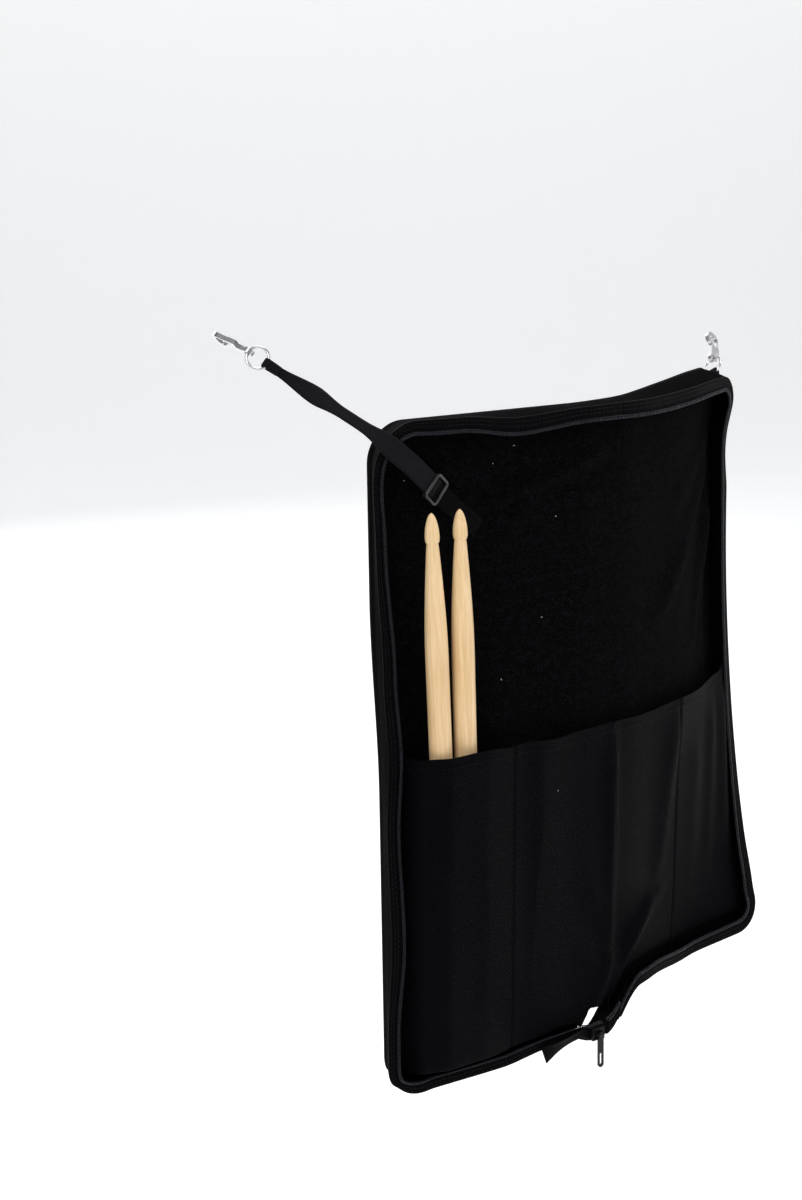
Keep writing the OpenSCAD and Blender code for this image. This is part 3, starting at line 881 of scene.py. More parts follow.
def rim_line(side, inset, w):
    """A line along the rim's front, leaning with the teeth."""
    path = rim_path(SIDES[side], 0.002, TEETH_END[side])
    shift = inset + shared_lean(path[0], np.array([inset]), np.array([w]))[:, 0]
    return beside_rim(path, shift, w)


def make_rim_stitches(side):
    """Two rows of stitches that hold the zip's tape to the band."""
    rows = [(rim_line(side, inset, 0.0154), 0.1 * MM) for inset in (0.0024, 0.0052)]
    stitches(f"{side}_rim_stitches", rows, side=side)


def make_lint():
    """A few pale fibres and specks caught in the lining's pile."""
    spots = [(-0.176, 0.440), (-0.150, 0.372), (-0.086, 0.456), (-0.104, 0.445), (-0.062, 0.330),
             (-0.098, 0.290), (-0.060, 0.205), (-0.050, 0.402)]
    parts = []
    for k, (u, v) in enumerate(spots):
        out = float(lining_relief(np.array(u), np.array(v)))
        if v < POCKET_TOP:
            out = float(pocket_depth(np.array(u), np.array(v)))
        turn = 1.7 * k
        t = np.linspace(-1, 1, 5)[:, None]
        way = np.array([[math.cos(turn), math.sin(turn), 0]])
        line = np.array([[u, v, out + 0.3 * MM]]) + way * t * (0.5 + 0.2 * (k % 3)) * MM
        parts.append(tube(place(line), 0.32 * MM * np.array([0.3, 0.9, 1, 0.9, 0.3]), THREAD_SIDES))
    piece = thread_piece("lint", parts, "lint")
    settle(piece, "lining", side="left")


# ---------------------------------------------------------------- pockets
def bulge(u, low, high, rise=0.024):
    """1 in the middle of a pocket and 0 at its seams."""
    return ease(u, low, low + rise) * (1 - ease(u, high - rise, high))


# Folds of the pocket sheet: where each starts and ends, its width and its height.
POCKET_FOLDS = [
    ((0.086, 0.232), (0.052, 0.075), 0.0105, 0.0036),
    ((0.046, 0.080), (0.004, 0.020), 0.006, 0.0034),
    ((0.006, 0.030), (-0.030, 0.150), 0.009, 0.0022),
    ((0.002, 0.026), (-0.052, 0.110), 0.009, 0.0018),
    ((-0.002, 0.236), (-0.008, 0.050), 0.0065, 0.0040),
    ((-0.008, 0.060), (-0.022, 0.016), 0.006, 0.0036),
    ((0.014, 0.034), (0.075, 0.095), 0.009, 0.0030),
    ((0.150, 0.225), (0.140, 0.060), 0.009, 0.0032),
    ((0.172, 0.232), (0.168, 0.080), 0.008, 0.0030),
    ((0.120, 0.200), (0.112, 0.050), 0.011, 0.0025),
]
# Across the bag: how full the pockets are, of sticks and of slack, and the free edge's height in mm.
STICK_SHAPE = ((-0.191, 0), (-0.176, 0.75), (-0.158, 1), (-0.132, 0.97), (-0.080, 0.5), (-0.030, 0))
SLACK_SHAPE = ((-0.096, 0), (-0.050, 1), (0.140, 1), (0.184, 1.5), (0.1965, 1.1))
TOP_SHAPE = ((-0.190, 250), (-0.130, 251), (-0.100, 247), (-0.040, 244), (0.060, 241), (0.110, 240),
             (0.165, 242), (0.1965, 260))


def pocket_depth(u, v):
    """How far the pocket sheet stands in front of the lining."""
    t = (v - POCKET_FLOOR) / (POCKET_TOP - POCKET_FLOOR)
    sticks = through(u, STICK_SHAPE) * (0.0180 + 0.0090 * t)
    slack = through(u, SLACK_SHAPE) * (0.0030 + 0.0030 * t)
    floor = ease(t, -0.024, 0.012) * 0.6 + 0.4
    seams = sum(np.exp(-(((u - x) / 0.0014) ** 2)) for x in SEAMS_SEEN)
    folds = folded(u, v, POCKET_FOLDS)
    lining = np.clip(lining_relief(u, v), 0, 0.002)
    return 0.0030 + lining + (sticks + slack) * floor + folds - 0.0014 * seams


def on_pocket(u, v, out):
    """Points of the pattern on the pocket sheet, that far in front of it."""
    return np.stack([u, v, pocket_depth(u, v) + out], 1)


def pocket_columns(side):
    """Values of u from the pocket's outer edge to the spine's middle."""
    outer = POCKET_EDGE[side]
    edge = np.linspace(outer, outer - 0.03, 17)
    rest = np.linspace(outer - 0.03, 0, 116)[1:]
    return SIDES[side] * np.concatenate([edge, rest])


def pocket_top(u):
    """Height of the free edge, which sags between its seams."""
    spans = ((-SEAM_MID, 0.0), (0.0, SEAM_MID), (SEAM_MID, SEAM_OUT))
    sag = sum(bulge(u, a, b, (b - a) / 2) for a, b in spans)
    return (through(u, TOP_SHAPE) - 0.8 * sag) * MM


def make_pockets(side):
    """The pocket sheet of one half, with its turned hem and its seams."""
    u = pocket_columns(side)
    bottom, _ = column_ends(u, POCKET_INSET[side], NOTCH + MM)
    top = pocket_top(u)
    t = np.linspace(0, 1, 110)
    v = bottom[:, None] + (top - bottom)[:, None] * t[None, :]
    uu = np.broadcast_to(u[:, None], v.shape)
    front = pocket_depth(uu, v)
    hem = ease(v - (top[:, None] - HEM), -0.0005, 0.0005) * 0.0005
    outside, inside = np.stack([uu, v, front + hem], 2), np.stack([uu, v, front - POCKET_THICK], 2)
    piece = half_sheet(f"{side}_pocket_cloth", side, outside, inside, "pocket_fabric")
    over_spine(piece, side)
    middle = ["spine_pocket", "spine_pocket_hem"] if side == "left" else []
    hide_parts(f"{side}_pockets", f"{side}_pocket_hem", *middle)
    make_pocket_stitches(side)


def make_pocket_stitches(side):
    """Stitches of the hem and of the seams, with a bar of three rows at each seam's top."""
    s = SIDES[side]
    u = s * np.linspace(POCKET_EDGE[side] - 0.002, 0.001, 90)
    rows = [(on_pocket(u, pocket_top(u) - HEM + 0.001, 0.0005), 0.12 * MM)]
    seams = [abs(SEAMS_SEEN[0 if side == "left" else 1])]
    if side == "left":
        seams.append(0.0015)
    for at_u in seams:
        low = NOTCH + 0.004 if at_u < 0.01 else POCKET_FLOOR + 0.004
        v = np.linspace(low, float(pocket_top(s * at_u)) - 0.001, 110)
        u = np.full_like(v, s * at_u)
        rows.append((on_pocket(u, v, 0.0001), 0.1 * MM))
        u = np.linspace(s * at_u - 0.003, s * at_u + 0.003, 5)
        for k in range(3):
            rows.append((on_pocket(u, pocket_top(u) - 0.002 - k * 0.0012, 0.0008), 0.3 * MM))
    stitches(f"{side}_pocket_stitches", rows, side=side, slot="pocket_fabric")


# ---------------------------------------------------------------- sticks
STICK_LENGTH = 0.404
STICK_DIAMETER = 0.016
TIP_LENGTH = 21 * MM
# How much slimmer than its shaft the stick is, and how far above its end or its neck, in millimetres.
STICK_BUTT = [(2.6, 0.1), (1.2, 1.0), (0.3, 2.8), (0, 5)]
STICK_TIP = [
    (0, -95), (0, -78), (0.25, -62), (1.1, -42), (2.3, -22), (3.5, -5), (3.9, -0.6), (3.95, 0),
    (3.3, 0.9), (2.95, 3), (2.95, 6), (3.3, 10), (4.1, 14), (5.1, 17.4), (6.3, 19.6),
]


def make_stick(name):
    """A turned stick: the profile runs up from its rounded butt to its acorn tip."""
    axis = Vector(joints[f"{name}_slide"]["axis"]).normalized()
    length, radius = STICK_LENGTH, STICK_DIAMETER / 2
    centre = stick_butt(name, axis)
    neck = length - TIP_LENGTH
    outline = [(0, 0)] + [(radius - slim * MM, h * MM) for slim, h in STICK_BUTT] + [(radius, 0.3 * neck)]
    outline += [(radius - slim * MM, neck + h * MM) for slim, h in STICK_TIP]
    outline += [(radius - 7.4 * MM, length - 0.35 * MM), (0, length)]
    angles = np.linspace(0, 2 * math.pi, 64, endpoint=False)
    turn = Vector((0, 0, 1)).rotation_difference(axis).to_matrix()
    grain = 0.05 if name == "left_stick" else 0.11
    rows, flats = [], []
    for r, h in fine_profile(outline):
        ring = [Vector((r * math.cos(a), r * math.sin(a), h)) for a in angles]
        rows.append([centre + turn @ p for p in ring])
        flats += [(p.x + grain, p.y, p.z) for p in ring]
    rows = np.array(rows)
    faces = [f[::-1] for f in sweep(rows)]
    piece = mesh_piece(f"{name}_wood", rows.reshape(-1, 3), faces, PAINTS["maple"], flats)
    settle(piece, "maple", name, body=name)


def stick_butt(name, axis):
    """Where the middle of the stick's butt is, from the CAD stick's box and axis."""
    points = np.array([v.co for v in frame["nodes"][name].data.vertices])
    along = points @ np.array(axis)
    tip = points[along > along.max() - 0.05 * MM].mean(0)
    return Vector(tip) - axis * STICK_LENGTH


def fine_profile(outline):
    """The outline's points, with the long stretches divided and the bends rounded."""
    knots = np.array(outline)
    s = distances(knots)
    dense = np.unique(np.concatenate([np.linspace(a, b, 6) for a, b in zip(s[:-1], s[1:])]))
    r, h = np.interp(dense, s, knots[:, 0]), np.interp(dense, s, knots[:, 1])
    for _ in range(3):
        r[1:-1] = (r[:-2] + 2 * r[1:-1] + r[2:]) / 4
        h[1:-1] = (h[:-2] + 2 * h[1:-1] + h[2:]) / 4
    keep = r > 0.05 * MM
    return list(zip(np.where(keep, r, 0.05 * MM), h))


# ---------------------------------------------------------------- straps
# Each strap's line in its own frame, in mm, from its sewn end to its ring, and its adjuster's place.
STRAP_ROUTES = {
    "left": [(0, 2.2), (47, 17.2), (86, 17.2), (160, -24)],
    "right": [(0, 2.2), (34, 9), (60, 29)],
}
GLIDE_AT = {"left": 20, "right": 17}
WEB_WIDTH = 15 * MM
WEB_THICK = 1.4 * MM
WEB_RIBS = 0.05 * MM
LOOP_WIDTH = 6.4 * MM
PATCH_LENGTH = 32 * MM


def strap_frame(side):
    """The strap's own frame: X along the strap, Y away from the fabric, Z across the webbing."""
    y = Vector(joints[f"{side}_strap_swing"]["axis"])
    z = Vector(joints[f"{side}_ring_turn"]["axis"])
    frame_matrix = Matrix((y.cross(z), y, z)).transposed().to_4x4()
    frame_matrix.translation = Vector(joints[f"{side}_strap_swing"]["pos_m"])
    return frame_matrix


def rounded_route(points, radius, step):
    """The route's points with its bends rounded, about a step apart."""
    points = np.array(points, float)
    line = [points[0]]
    for before, bend, after in zip(points, points[1:], points[2:]):
        a, b = before - bend, after - bend
        back = min(radius, np.linalg.norm(a) / 2, np.linalg.norm(b) / 2)
        start, stop = bend + a / np.linalg.norm(a) * back, bend + b / np.linalg.norm(b) * back
        for t in np.linspace(0, 1, 9):
            line.append((1 - t) ** 2 * start + 2 * t * (1 - t) * bend + t * t * stop)
    line.append(points[-1])
    line = np.array(line)
    s = distances(line)
    even = np.arange(0, s[-1], step)
    return np.stack([np.interp(even, s, line[:, k]) for k in range(line.shape[1])], 1), even


def strip_section(width, thick, points=9):
    """Cross-section of webbing: flat, with a slightly thicker selvage at each edge."""
    across = np.linspace(-1, 1, points)
    half = thick / 2 * (1 - 0.75 * np.abs(across) ** 14) * (1 + 0.10 * np.abs(across) ** 3)
    top = np.stack([across * width / 2, half], 1)
    return np.concatenate([top, top[::-1] * [1, -1]])


def strip_rows(line, s, widths, thick, ribs, points=9, twist=0.0):
    """Rings of a strip along a line in the X, Y plane, where s is the length along it.

    ribs is the height of its cross threads, and twist turns it about its own line.
    """
    widths, twist = np.broadcast_to(widths, len(line)), np.broadcast_to(twist, len(line))
    along = np.gradient(line, axis=0)
    along /= np.linalg.norm(along, axis=1)[:, None]
    across = np.array([0, 0, 1.0])
    rows = []
    for p, t, x, width, a in zip(line, along, s, widths, twist):
        normal = np.array([-t[1], t[0], 0.0])
        n = normal * math.cos(a) + across * math.sin(a)
        c = across * math.cos(a) - normal * math.sin(a)
        rib = ribs * math.sin(x * 2 * math.pi / (1.3 * MM))
        centre, section = np.array([*p, 0.0]), strip_section(width, thick, points)
        rows.append([centre + c * w + n * (h + math.copysign(rib, h)) for w, h in section])
    return np.array(rows)


def in_frame(matrix, points):
    """Rows of points moved by a matrix."""
    m = np.array(matrix)
    return np.asarray(points).reshape(-1, 3) @ m[:3, :3].T + m[:3, 3]


def hung(side):
    """Rigid move from the CAD leaf at the strap's sewn end to the hanging cloth there."""
    root = np.array(joints[f"{side}_strap_swing"]["pos_m"]) - ORIGIN
    if side == "left":
        return Matrix.Identity(4)
    spine, leaf = np.radians([REST_BEND, 2 * REST_BEND])
    fold = np.array([2 * FOLD_X * math.cos(spine) - FOLD_X, 2 * FOLD_X * math.sin(spine) + FOLD_Y])
    along = np.array([math.cos(leaf), math.sin(leaf)])
    u = FOLD_X + (root[:2] - fold) @ along
    v = root[2]
    out = -(root[:2] - fold) @ np.array([-along[1], along[0]]) - FOLD_Y
    extra = math.radians(float(heading(np.array([u]), np.array([v]))[0])) - leaf
    here = Matrix.Translation(Vector(ORIGIN + root))
    return Matrix.Translation(at(u, v, out)) @ Matrix.Rotation(extra, 4, "Z") @ here.inverted()


def cloth_share(side, x):
    """1 at a strap's sewn end, where it follows the cloth, and 0 at its ring, where it follows the CAD."""
    reach = STRAP_ROUTES[side][-1][0] * MM
    return 1 - ease(x, 0.002, reach - 0.006)


def strap_points(side, matrix, points):
    """Strap points in the row frame: on the cloth at the sewn end, on the CAD ring at the other."""
    points = np.asarray(points).reshape(-1, 3)
    cad = in_frame(matrix, points)
    share = cloth_share(side, points[:, 0])
    return cad + (in_frame(hung(side), cad) - cad) * share[:, None]


def strap_piece(name, rows, matrix, body, nodes=(), paint="webbing"):
    """A strip of webbing: its pattern runs along and across it."""
    side = name.split("_")[0]
    s = distances(rows.mean(1))
    across = np.linspace(0, 1, rows.shape[1] // 2)
    across = np.concatenate([across, across[::-1]]) * WEB_WIDTH
    points = strap_points(side, matrix, rows)
    piece = mesh_piece(name, points, sweep(rows), PAINTS[paint], sweep_pattern(s, across))
    settle(piece, "webbing", *nodes, body=body)


def make_strap(side):
    """One hanging strap: webbing, loop round the ring, doubled end, sewn patch and adjuster."""
    matrix = strap_frame(side)
    route = np.array(STRAP_ROUTES[side], float) * MM
    end_way = (route[-1] - route[-2]) / np.linalg.norm(route[-1] - route[-2])
    ring_gap, lead_in, bend, step = 3.4 * MM, 0.004, 0.014, 0.0008
    stop = route[-1] - end_way * ring_gap
    start = [-lead_in, route[0, 1] - 0.0006]
    line, s = rounded_route(np.vstack([start, route[:-1], stop]), bend, step)
    length = s[-1]
    narrow = ease(s, length - 0.040, length - 0.004)
    gather = ease(s, 0.078, 0.100) * (1 - ease(s, 0.118, 0.140)) if side == "left" else 0 * s
    width = WEB_WIDTH * (1 - 0.30 * gather) * (1 - narrow) + LOOP_WIDTH * narrow
    twist = 0.55 * ease(s, 0.070, 0.108) * (1 - ease(s, 0.118, length - 0.004)) if side == "left" else 0 * s
    swell = 0.0005 * np.exp(-(((s - lead_in - GLIDE_AT[side] * MM) / 0.004) ** 2))
    line[:, 1] += swell
    rows = strip_rows(line, s, width, WEB_THICK, WEB_RIBS, 11, twist)
    glide = int(np.searchsorted(s, lead_in + GLIDE_AT[side] * MM))
    strap_piece(f"{side}_strap_web", rows[glide:], matrix, f"{side}_strap", [f"{side}_webbing"])
    # The strap's root, between its sewn end and the adjuster, takes the darker webbing: painted shade.
    strap_piece(f"{side}_strap_root", rows[:glide + 1], matrix, f"{side}_strap", paint="patch_web")
    make_strap_loop(side, matrix, route, end_way)
    make_second_layer(side, matrix, line, s)
    if side == "left":
        make_lining_patch(matrix)
    else:
        make_band_patch()
    make_glide(side, matrix, route)


def make_strap_loop(side, matrix, route, way):
    """The webbing's end, turned round the ring and sewn back on itself."""
    turn = math.atan2(way[1], way[0])
    radius = 2.6 * MM
    loop = [(-9.5 * MM, 1.0 * MM), (-5 * MM, 1.9 * MM)]
    loop += [(radius * math.cos(a), radius * math.sin(a)) for a in np.linspace(2.0, -2.0, 15)]
    loop += [(-5 * MM, -1.9 * MM), (-9.5 * MM, -1.0 * MM)]
    line, s = rounded_route(loop, 0.001, 0.0006)
    c, k = math.cos(turn), math.sin(turn)
    line = route[-1] + line @ np.array([[c, k], [-k, c]])
    rows = strip_rows(line, s, LOOP_WIDTH, 1.2 * MM, 0.04 * MM)
    strap_piece(f"{side}_strap_loop", rows, matrix, f"{side}_strap")


def make_second_layer(side, matrix, line, s):
    """The free end, doubled back under the strap beyond the adjuster."""
    start, stop = (0.034, 0.074) if side == "left" else (0.026, 0.040)
    part = (s > start) & (s < stop)
    under = line[part].copy()
    drop = WEB_THICK * 0.55 * (1 + 0.6 * ease(s[part], stop - 0.018, stop))
    under[:, 1] -= WEB_THICK * 0.55 + drop
    rows = strip_rows(under, s[part], WEB_WIDTH * 0.96, WEB_THICK * 0.9, WEB_RIBS)
    strap_piece(f"{side}_strap_tail", rows, matrix, f"{side}_strap")


def make_lining_patch(matrix):
    """The left strap's end, sewn flat on the lining with a crossed box of stitches."""
    flat, over = 1.15 * MM, 1.75 * MM
    ends = [(-PATCH_LENGTH, 0.9 * MM), (-PATCH_LENGTH + 1.5 * MM, flat), (-4 * MM, flat), (2 * MM, 1.6 * MM)]
    line, s = rounded_route(ends, 0.001, 0.0008)
    rows = strip_rows(line, s, WEB_WIDTH, WEB_THICK * 0.8, WEB_RIBS, 11)
    # The patch takes the darker webbing: painted shade.
    strap_piece("left_patch_web", rows, matrix, "left_leaf", ["left_strap_patch"], "patch_web")
    x0, x1, z = -PATCH_LENGTH + 3 * MM, -6 * MM, 5.4 * MM
    corners = [(x0, over, -z), (x1, over, -z), (x1, over, z), (x0, over, z)]
    sewn("left_patch_stitches", matrix, crossed_box(corners), "left_leaf")


def crossed_box(corners):
    """The four sides of a box of stitches and its two diagonals, as pairs of points."""
    sides = list(zip(corners, corners[1:] + corners[:1]))
    return sides + [(corners[0], corners[2]), (corners[1], corners[3])]


def make_band_patch():
    """The right strap's end, sewn on the outer face of the side band."""
    v = np.linspace(0.392, 0.427, 26)
    out, slope = 0.0045, 0.65 * 11 / 14
    rim = np.stack([np.full_like(v, EDGE), v], 1)
    edge = EDGE + 0.9 * MM - shared_lean(rim, np.array([0.0]), np.array([out]))[:, 0]
    centre = np.stack([edge, v, np.full_like(v, out)], 1)
    across = np.tile([slope, 0, 1.0], (len(v), 1))
    # The patch takes the darker webbing: painted shade.
    piece = flat_strip("right_patch_web", centre, across, 0.014, 1.1 * MM, "patch_web", "right_leaf")
    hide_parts("right_strap_patch")


def sewn(name, matrix, lines, body):
    """Straight rows of stitches in a strap's own frame."""
    length, gap, radius = 2.4 * MM, 0.9 * MM, 0.3 * MM
    taper = radius * np.array([0.2, 0.85, 1, 0.85, 0.2])
    parts = []
    for a, b in lines:
        a, b = np.array(a, float), np.array(b, float)
        reach = np.linalg.norm(b - a)
        x = gap / 2
        while x + length <= reach + 1e-9:
            t = np.linspace(x, x + length, len(taper)) / reach
            centre = strap_points(name.split("_")[0], matrix, a[None] + (b - a)[None] * t[:, None])
            parts.append(tube(centre, taper, THREAD_SIDES))
            x += length + gap
    settle(thread_piece(name, parts), "webbing", body=body)


def make_glide(side, matrix, route):
    """The adjuster: a rounded frame in front of the webbing and a round bar behind it."""
    lead = (route[1] - route[0]) / np.linalg.norm(route[1] - route[0])
    spot = route[0] + lead * GLIDE_AT[side] * MM
    tilt = Matrix.Rotation(math.atan2(lead[1], lead[0]), 4, "Z")
    place_glide = matrix @ Matrix.Translation((spot[0], spot[1], 0)) @ tilt
    half_x, half_z, r = 6.9 * MM, 8.9 * MM, 2.6 * MM
    ring = []
    for cx, cz, start in ((half_x - r, half_z - r, 0), (-half_x + r, half_z - r, 90),
                          (-half_x + r, -half_z + r, 180), (half_x - r, -half_z + r, 270)):
        for a in np.radians(np.linspace(start, start + 90, 7)):
            ring.append((cx + r * math.cos(a), cz + r * math.sin(a), math.cos(a), math.sin(a)))
    front = 1.5 * MM
    body = [(-1.15, 0.45), (-1.25, 0.9), (-0.95, 1.25), (0, 1.38), (0.95, 1.2), (1.2, 0.8), (1.15, 0.45)]
    rows = []
    for x, z, nx, nz in ring:
        side_bar = abs(nz) > 0.7 or abs(z) > half_z - r
        back = -1.5 * MM if side_bar else 0.75 * MM
        rows.append([(x + nx * a * MM, max(b * front, 0.75 * MM) if b > 0.6 else back, z + nz * a * MM)
                     for a, b in body])
    rows = np.array(rows)
    n, m = rows.shape[:2]
    faces = [tuple(i % (n * m) for i in f) for f in grid_faces(n + 1, m, True)]
    share = float(cloth_share(side, spot[0]))
    here = in_frame(matrix, [[spot[0], spot[1], 0]])
    place_glide = Matrix.Translation(Vector(((in_frame(hung(side), here) - here) * share)[0])) @ place_glide
    plastic = PAINTS["black_plastic"]
    frame_piece = mesh_piece(f"{side}_glide_frame", in_frame(place_glide, rows), faces, plastic)
    add_modifier(frame_piece, "BEVEL", width=0.25 * MM, segments=2, limit_method="ANGLE")
    bar = tube_rings([(0, -1.5 * MM, z) for z in np.linspace(-8 * MM, 8 * MM, 9)], 0.72 * MM, 12)
    bar_piece = mesh_piece(f"{side}_glide_bar", in_frame(place_glide, bar), sweep(bar), plastic)
    for piece in (frame_piece, bar_piece):
        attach(piece, f"{side}_tri_glide")
    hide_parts(f"{side}_tri_glide")


def add_modifier(obj, kind, **settings):
    """A modifier on obj, with those settings."""
    made = obj.modifiers.new(kind.title(), kind)
    for key, value in settings.items():
        setattr(made, key, value)
    return made


def dress_node(name, paint, bevel=0.0):
    """Keeps a CAD node, with rounded edges and a finished material."""
    obj = frame["nodes"][name]
    obj.data.materials.clear()
    obj.data.materials.append(PAINTS[paint])
    for face in obj.data.polygons:
        face.use_smooth = True
    if bevel:
        add_modifier(obj, "BEVEL", width=bevel, segments=3, limit_method="ANGLE",
                     angle_limit=math.radians(35), harden_normals=False)
        add_modifier(obj, "WEIGHTED_NORMAL", keep_sharp=False)


# ---------------------------------------------------------------- zip tab, handle and outer pocket
def flat_strip(name, centre, across, width, thick, paint, body):
    """A strip whose middle line and directions across are given on the pattern."""
    centre, across = np.asarray(centre, float), np.asarray(across, float)
    along = np.gradient(centre, axis=0)
    along /= np.linalg.norm(along, axis=1)[:, None]
    across = across - (across * along).sum(1)[:, None] * along
    across /= np.linalg.norm(across, axis=1)[:, None]
    normal = np.cross(along, across)
    section = strip_section(1.0, thick)
    width = np.broadcast_to(width, len(centre))
    rows = np.array([[c + a * w * wide + n * h for w, h in section]
                     for c, a, n, wide in zip(centre, across, normal, width)])
    pattern = sweep_pattern(distances(centre), section[:, 0] * width[0])
    piece = mesh_piece(name, place(rows), sweep(rows), PAINTS[paint], pattern)
    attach(piece, body)
    return piece


def make_end_tab():
    """The loose end of the zip tape, cut off a little below the bag's edge."""
    knots = [(-0.033, 0.0095, 0.0160), (-0.046, 0.0075, 0.0182), (-0.060, 0.0035, 0.0188),
             (-0.074, -0.0015, 0.0172)]
    line, s = rounded_route(knots, 0.008, 0.001)
    t = s / s[-1]
    tilt = np.stack([0.25 * t, np.cos(0.5 * t), 0.45 * np.sin(3 * t)], 1)
    piece = flat_strip("zip_tab_tape", line, tilt, 0.0125 + 0.003 * t, 0.7 * MM, "zip_tape", "left_leaf")
    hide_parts("zip_end_tab")


HANDLE_LENGTH = 0.130
HANDLE_RISE = 0.026
HANDLE_WIDTH = 0.025
HANDLE_THICK = 0.0022
PATCH_SIZE = (0.030, 0.028)
PATCH_THICK = 0.0012


def make_handle():
    """A webbing loop down the back of the spine, held by two crossed patches."""
    low, top = MID_Z - HANDLE_LENGTH / 2, MID_Z + HANDLE_LENGTH / 2
    foot = COVER_BACK + 0.0044
    knots = [(low - 0.022, foot), (low, foot), (low + 0.016, COVER_BACK + 0.8 * HANDLE_RISE),
             (low + 0.036, COVER_BACK + HANDLE_RISE), (top - 0.036, COVER_BACK + HANDLE_RISE),
             (top - 0.016, COVER_BACK + 0.8 * HANDLE_RISE), (top, foot), (top + 0.022, foot)]
    line, _ = rounded_route(knots, 0.010, 0.0012)
    line = np.stack([np.zeros(len(line)), line[:, 0], -line[:, 1]], 1)
    across = np.tile([1.0, 0, 0], (len(line), 1))
    piece = flat_strip("handle_web", line, across, HANDLE_WIDTH, HANDLE_THICK, "webbing", "spine")
    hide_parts("carry_handle")
    rows = []
    for k, start in enumerate((low - 0.026, top - 0.002)):
        end = start + PATCH_SIZE[1]
        v = np.linspace(start, end, 24)
        edge = 0.0013 * (ease(v, start, start + 0.002) * (1 - ease(v, end - 0.002, end)) - 1)
        line = np.stack([np.zeros(24), v, -foot - 0.0016 - edge], 1)
        # The patches take the darker webbing: painted shade.
        patch = flat_strip(f"handle_patch_{k}", line, across[:24], PATCH_SIZE[0], PATCH_THICK, "patch_web",
                           "spine")
        if k == 0:
            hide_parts("handle_patches")
        a, b, c, d, out = -0.012, 0.012, start + 0.004, end - 0.004, -foot - 0.0022
        corners = [(a, c, out), (b, c, out), (b, d, out), (a, d, out)]
        rows += [(np.array(ends), -0.2 * MM) for ends in crossed_box(corners)]
    stitches("handle_stitches", rows, body="spine", slot="webbing")


OUTER_U = (0.045, 0.171)
OUTER_V = (0.060, 0.360)
OUTER_HEM = 0.016
OUTER_RIM = 0.0034
OUTER_FOLDS = [
    ((0.060, 0.345), (0.100, 0.200), 0.010, 0.0022),
    ((0.160, 0.340), (0.120, 0.190), 0.011, 0.0026),
    ((0.075, 0.080), (0.110, 0.160), 0.010, 0.0014),
]


def outer_depth(u, v):
    """How far the slip pocket on the back stands off its rim."""
    t = (v - OUTER_V[0]) / (OUTER_V[1] - OUTER_V[0])
    swell = bulge(u, *OUTER_U, 0.05) * (0.0035 + 0.0070 * ease(t, -0.1, 0.9))
    folds = folded(u, v, OUTER_FOLDS) * bulge(u, *OUTER_U, 0.03)
    return COVER_BACK + cover_puff(u, v) + OUTER_RIM + (swell + folds) * ease(t, 0.0, 0.12)


def make_outer_pocket():
    """A plain slip pocket on the right leaf's back, sewn down at three sides, with a turned hem."""
    u = np.linspace(*OUTER_U, 64)
    top = OUTER_V[1] - 0.004 * bulge(u, *OUTER_U, 0.06)
    v = OUTER_V[0] + (top - OUTER_V[0])[:, None] * np.linspace(0, 1, 110)[None, :]
    uu = np.broadcast_to(u[:, None], v.shape)
    depth = outer_depth(uu, v)
    hem = ease(v - (top[:, None] - OUTER_HEM), -0.0006, 0.0006) * 0.0006
    side = ease(np.minimum(uu - OUTER_U[0], OUTER_U[1] - uu), 0.0, 0.003) * 0.0022
    low = ease(v, OUTER_V[0], OUTER_V[0] + 0.003) * 0.5 + 0.5
    outside = np.stack([uu, v, -(depth - 0.0022 + side * low) - hem], 2)
    inside = outside + [0, 0, 0.0010]
    piece = half_sheet("outer_pocket_cloth", "right", inside, outside, "outer_fabric")
    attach(piece, "right_leaf")
    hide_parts("outer_pocket", "outer_pocket_hem")
    left, right, bottom = OUTER_U[0] + 0.004, OUTER_U[1] - 0.004, OUTER_V[0] + 0.004
    up, across = np.linspace(bottom, OUTER_V[1] - 0.002, 90), np.linspace(left, right, 60)
    rows = [(np.full_like(up, x), up) for x in (left, right)]
    rows += [(across, np.full_like(across, y)) for y in (bottom, OUTER_V[1] - OUTER_HEM - 0.001)]
    lines = [(np.stack([u, v, -outer_depth(u, v) - 0.0003], 1), -0.2 * MM) for u, v in rows]
    stitches("outer_pocket_stitches", lines, body="right_leaf", slot="outer_fabric")


# ---------------------------------------------------------------- floor, light and camera
CAMERA_AT = Vector((-0.8708, -1.0997, 0.6530))
CAMERA_AZIMUTH = 32.2
CAMERA_ELEVATION = 10.15
CAMERA_ROLL = 0.92
SENSOR_WIDTH = 36
LENS = 58.73
LENS_SHIFT = -0.0752
FLOOR_Z = -0.16


def make_camera():
    """The camera that takes in the open bag from its left and a little above."""
    data = bpy.data.cameras.new("camera")
    data.sensor_width = SENSOR_WIDTH
    data.lens = LENS
    data.shift_y = LENS_SHIFT
    data.clip_start, data.clip_end = 0.05, 60
    camera = add_object("camera", data)
    turn = Matrix.Rotation(math.radians(-CAMERA_AZIMUTH), 4, "Z") @ Matrix.Rotation(
        math.radians(90 - CAMERA_ELEVATION), 4, "X") @ Matrix.Rotation(math.radians(-CAMERA_ROLL), 4, "Z")
    turn.translation = CAMERA_AT + Vector(ORIGIN)
    camera.matrix_world = turn
    bpy.context.scene.camera = camera


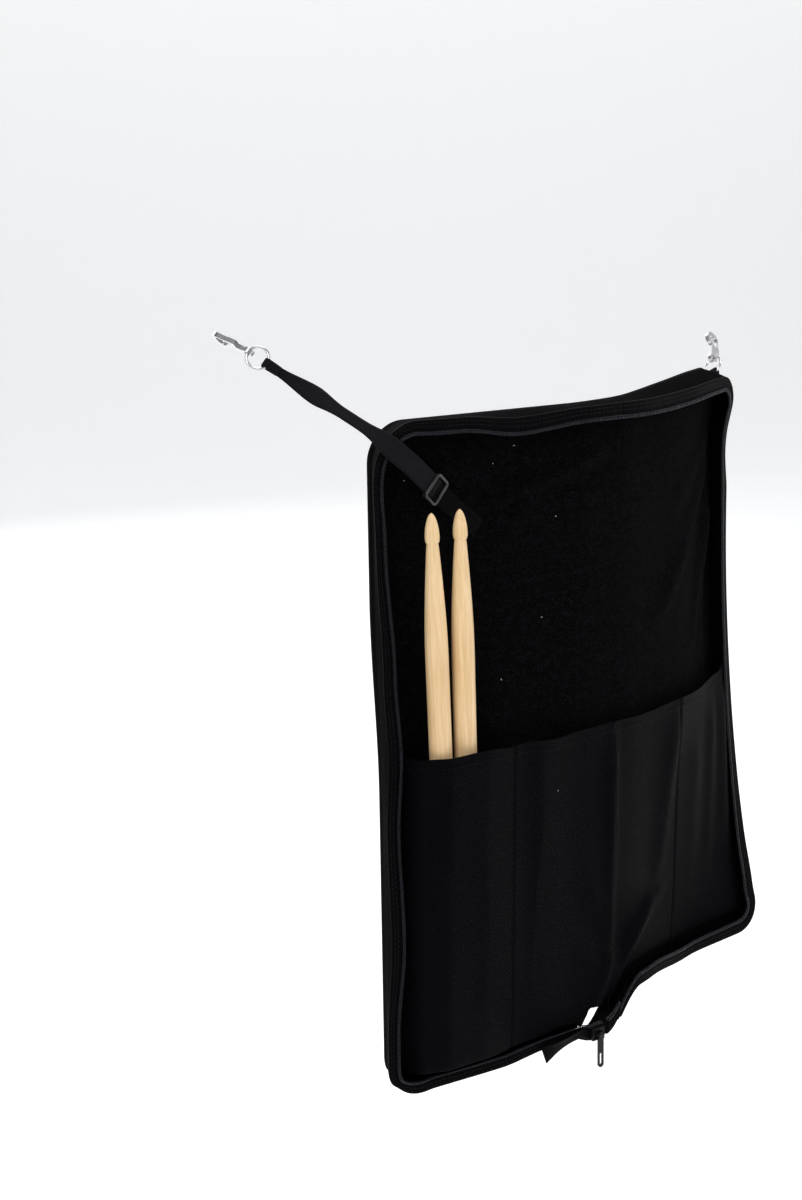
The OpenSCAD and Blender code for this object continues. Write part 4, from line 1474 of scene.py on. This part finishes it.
def make_stage():
    """A pale floor that curves up into a backdrop far behind."""
    middle = Vector(ORIGIN)
    reach, wall, height, curve = 7.0, 5.0, 9.0, 1.5
    profile = [(-reach, 0.0), (wall - curve, 0.0)]
    for a in np.linspace(0.1, math.pi / 2, 12):
        profile.append((wall - curve + curve * math.sin(a), curve - curve * math.cos(a)))
    profile.append((wall, height))
    turn = Matrix.Rotation(math.radians(-CAMERA_AZIMUTH), 4, "Z")
    points = []
    for y, z in profile:
        for x in (-9.0, 9.0):
            points.append(middle + turn @ Vector((x, y, 0)) + Vector((0, 0, z + FLOOR_Z)))
    data = bpy.data.meshes.new("stage")
    data.from_pydata(points, [], grid_faces(len(profile), 2))
    paint = Paint("stage", (0.93, 0.93, 0.93), 0.9, Specular_IOR_Level=0.0, Emission_Strength=0.28)
    paint.shader.inputs["Emission Color"].default_value = (1, 1, 1, 1)
    data.materials.append(paint.material)
    for face in data.polygons:
        face.use_smooth = True
    add_object("stage", data)


def area_light(name, spot, target, size, power, color=(1, 1, 1)):
    """A rectangular light at a spot, turned to a target."""
    data = bpy.data.lights.new(name, "AREA")
    data.shape = "RECTANGLE"
    data.size, data.size_y = size
    data.energy = power
    data.color = color
    obj = add_object(name, data)
    spot, target = Vector(ORIGIN) + Vector(spot), Vector(ORIGIN) + Vector(target)
    turn = (target - spot).to_track_quat("-Z", "Y").to_matrix().to_4x4()
    obj.matrix_world = Matrix.Translation(spot) @ turn


def make_lights():
    """Four soft area lights and a pale even sky."""
    middle = (0, 0.03, 0.25)
    area_light("key", (-1.9, -1.3, 1.7), middle, (1.2, 1.2), 34, (1.0, 0.99, 0.97))
    area_light("side", (1.9, -0.9, 0.9), middle, (0.5, 1.6), 14)
    area_light("top", (0.2, -0.2, 2.4), middle, (1.6, 1.2), 26)
    area_light("back", (0.4, 2.6, 1.4), middle, (1.6, 1.6), 20)
    world = bpy.data.worlds.new("studio")
    bpy.context.scene.world = world
    world.use_nodes = True
    world.node_tree.nodes["Background"].inputs[0].default_value = (0.95, 0.97, 1.0, 1)
    world.node_tree.nodes["Background"].inputs[1].default_value = 0.40
    bpy.context.scene.view_settings.view_transform = "Standard"
    bpy.context.scene.view_settings.look = "None"


# ---------------------------------------------------------------- the whole bag
make_camera()
make_stage()
make_lights()
for side in ("left", "right"):
    make_cover(side)
    make_lining(side)
    make_band(side)
    make_tape(side)
    make_coil(side)
    make_rim_stitches(side)
    make_pockets(side)
    make_strap(side)
    make_stick(f"{side}_stick")
    dress_node(f"{side}_ring", "nickel")
    dress_node(f"{side}_hook", "nickel", 0.6 * MM)
    dress_node(f"{side}_gate", "nickel", 0.4 * MM)
dress_node("zip_slider", "slider_paint", 0.3 * MM)
dress_node("zip_pull", "pull_metal", 0.3 * MM)

make_lint()
make_end_tab()
make_handle()
make_outer_pocket()
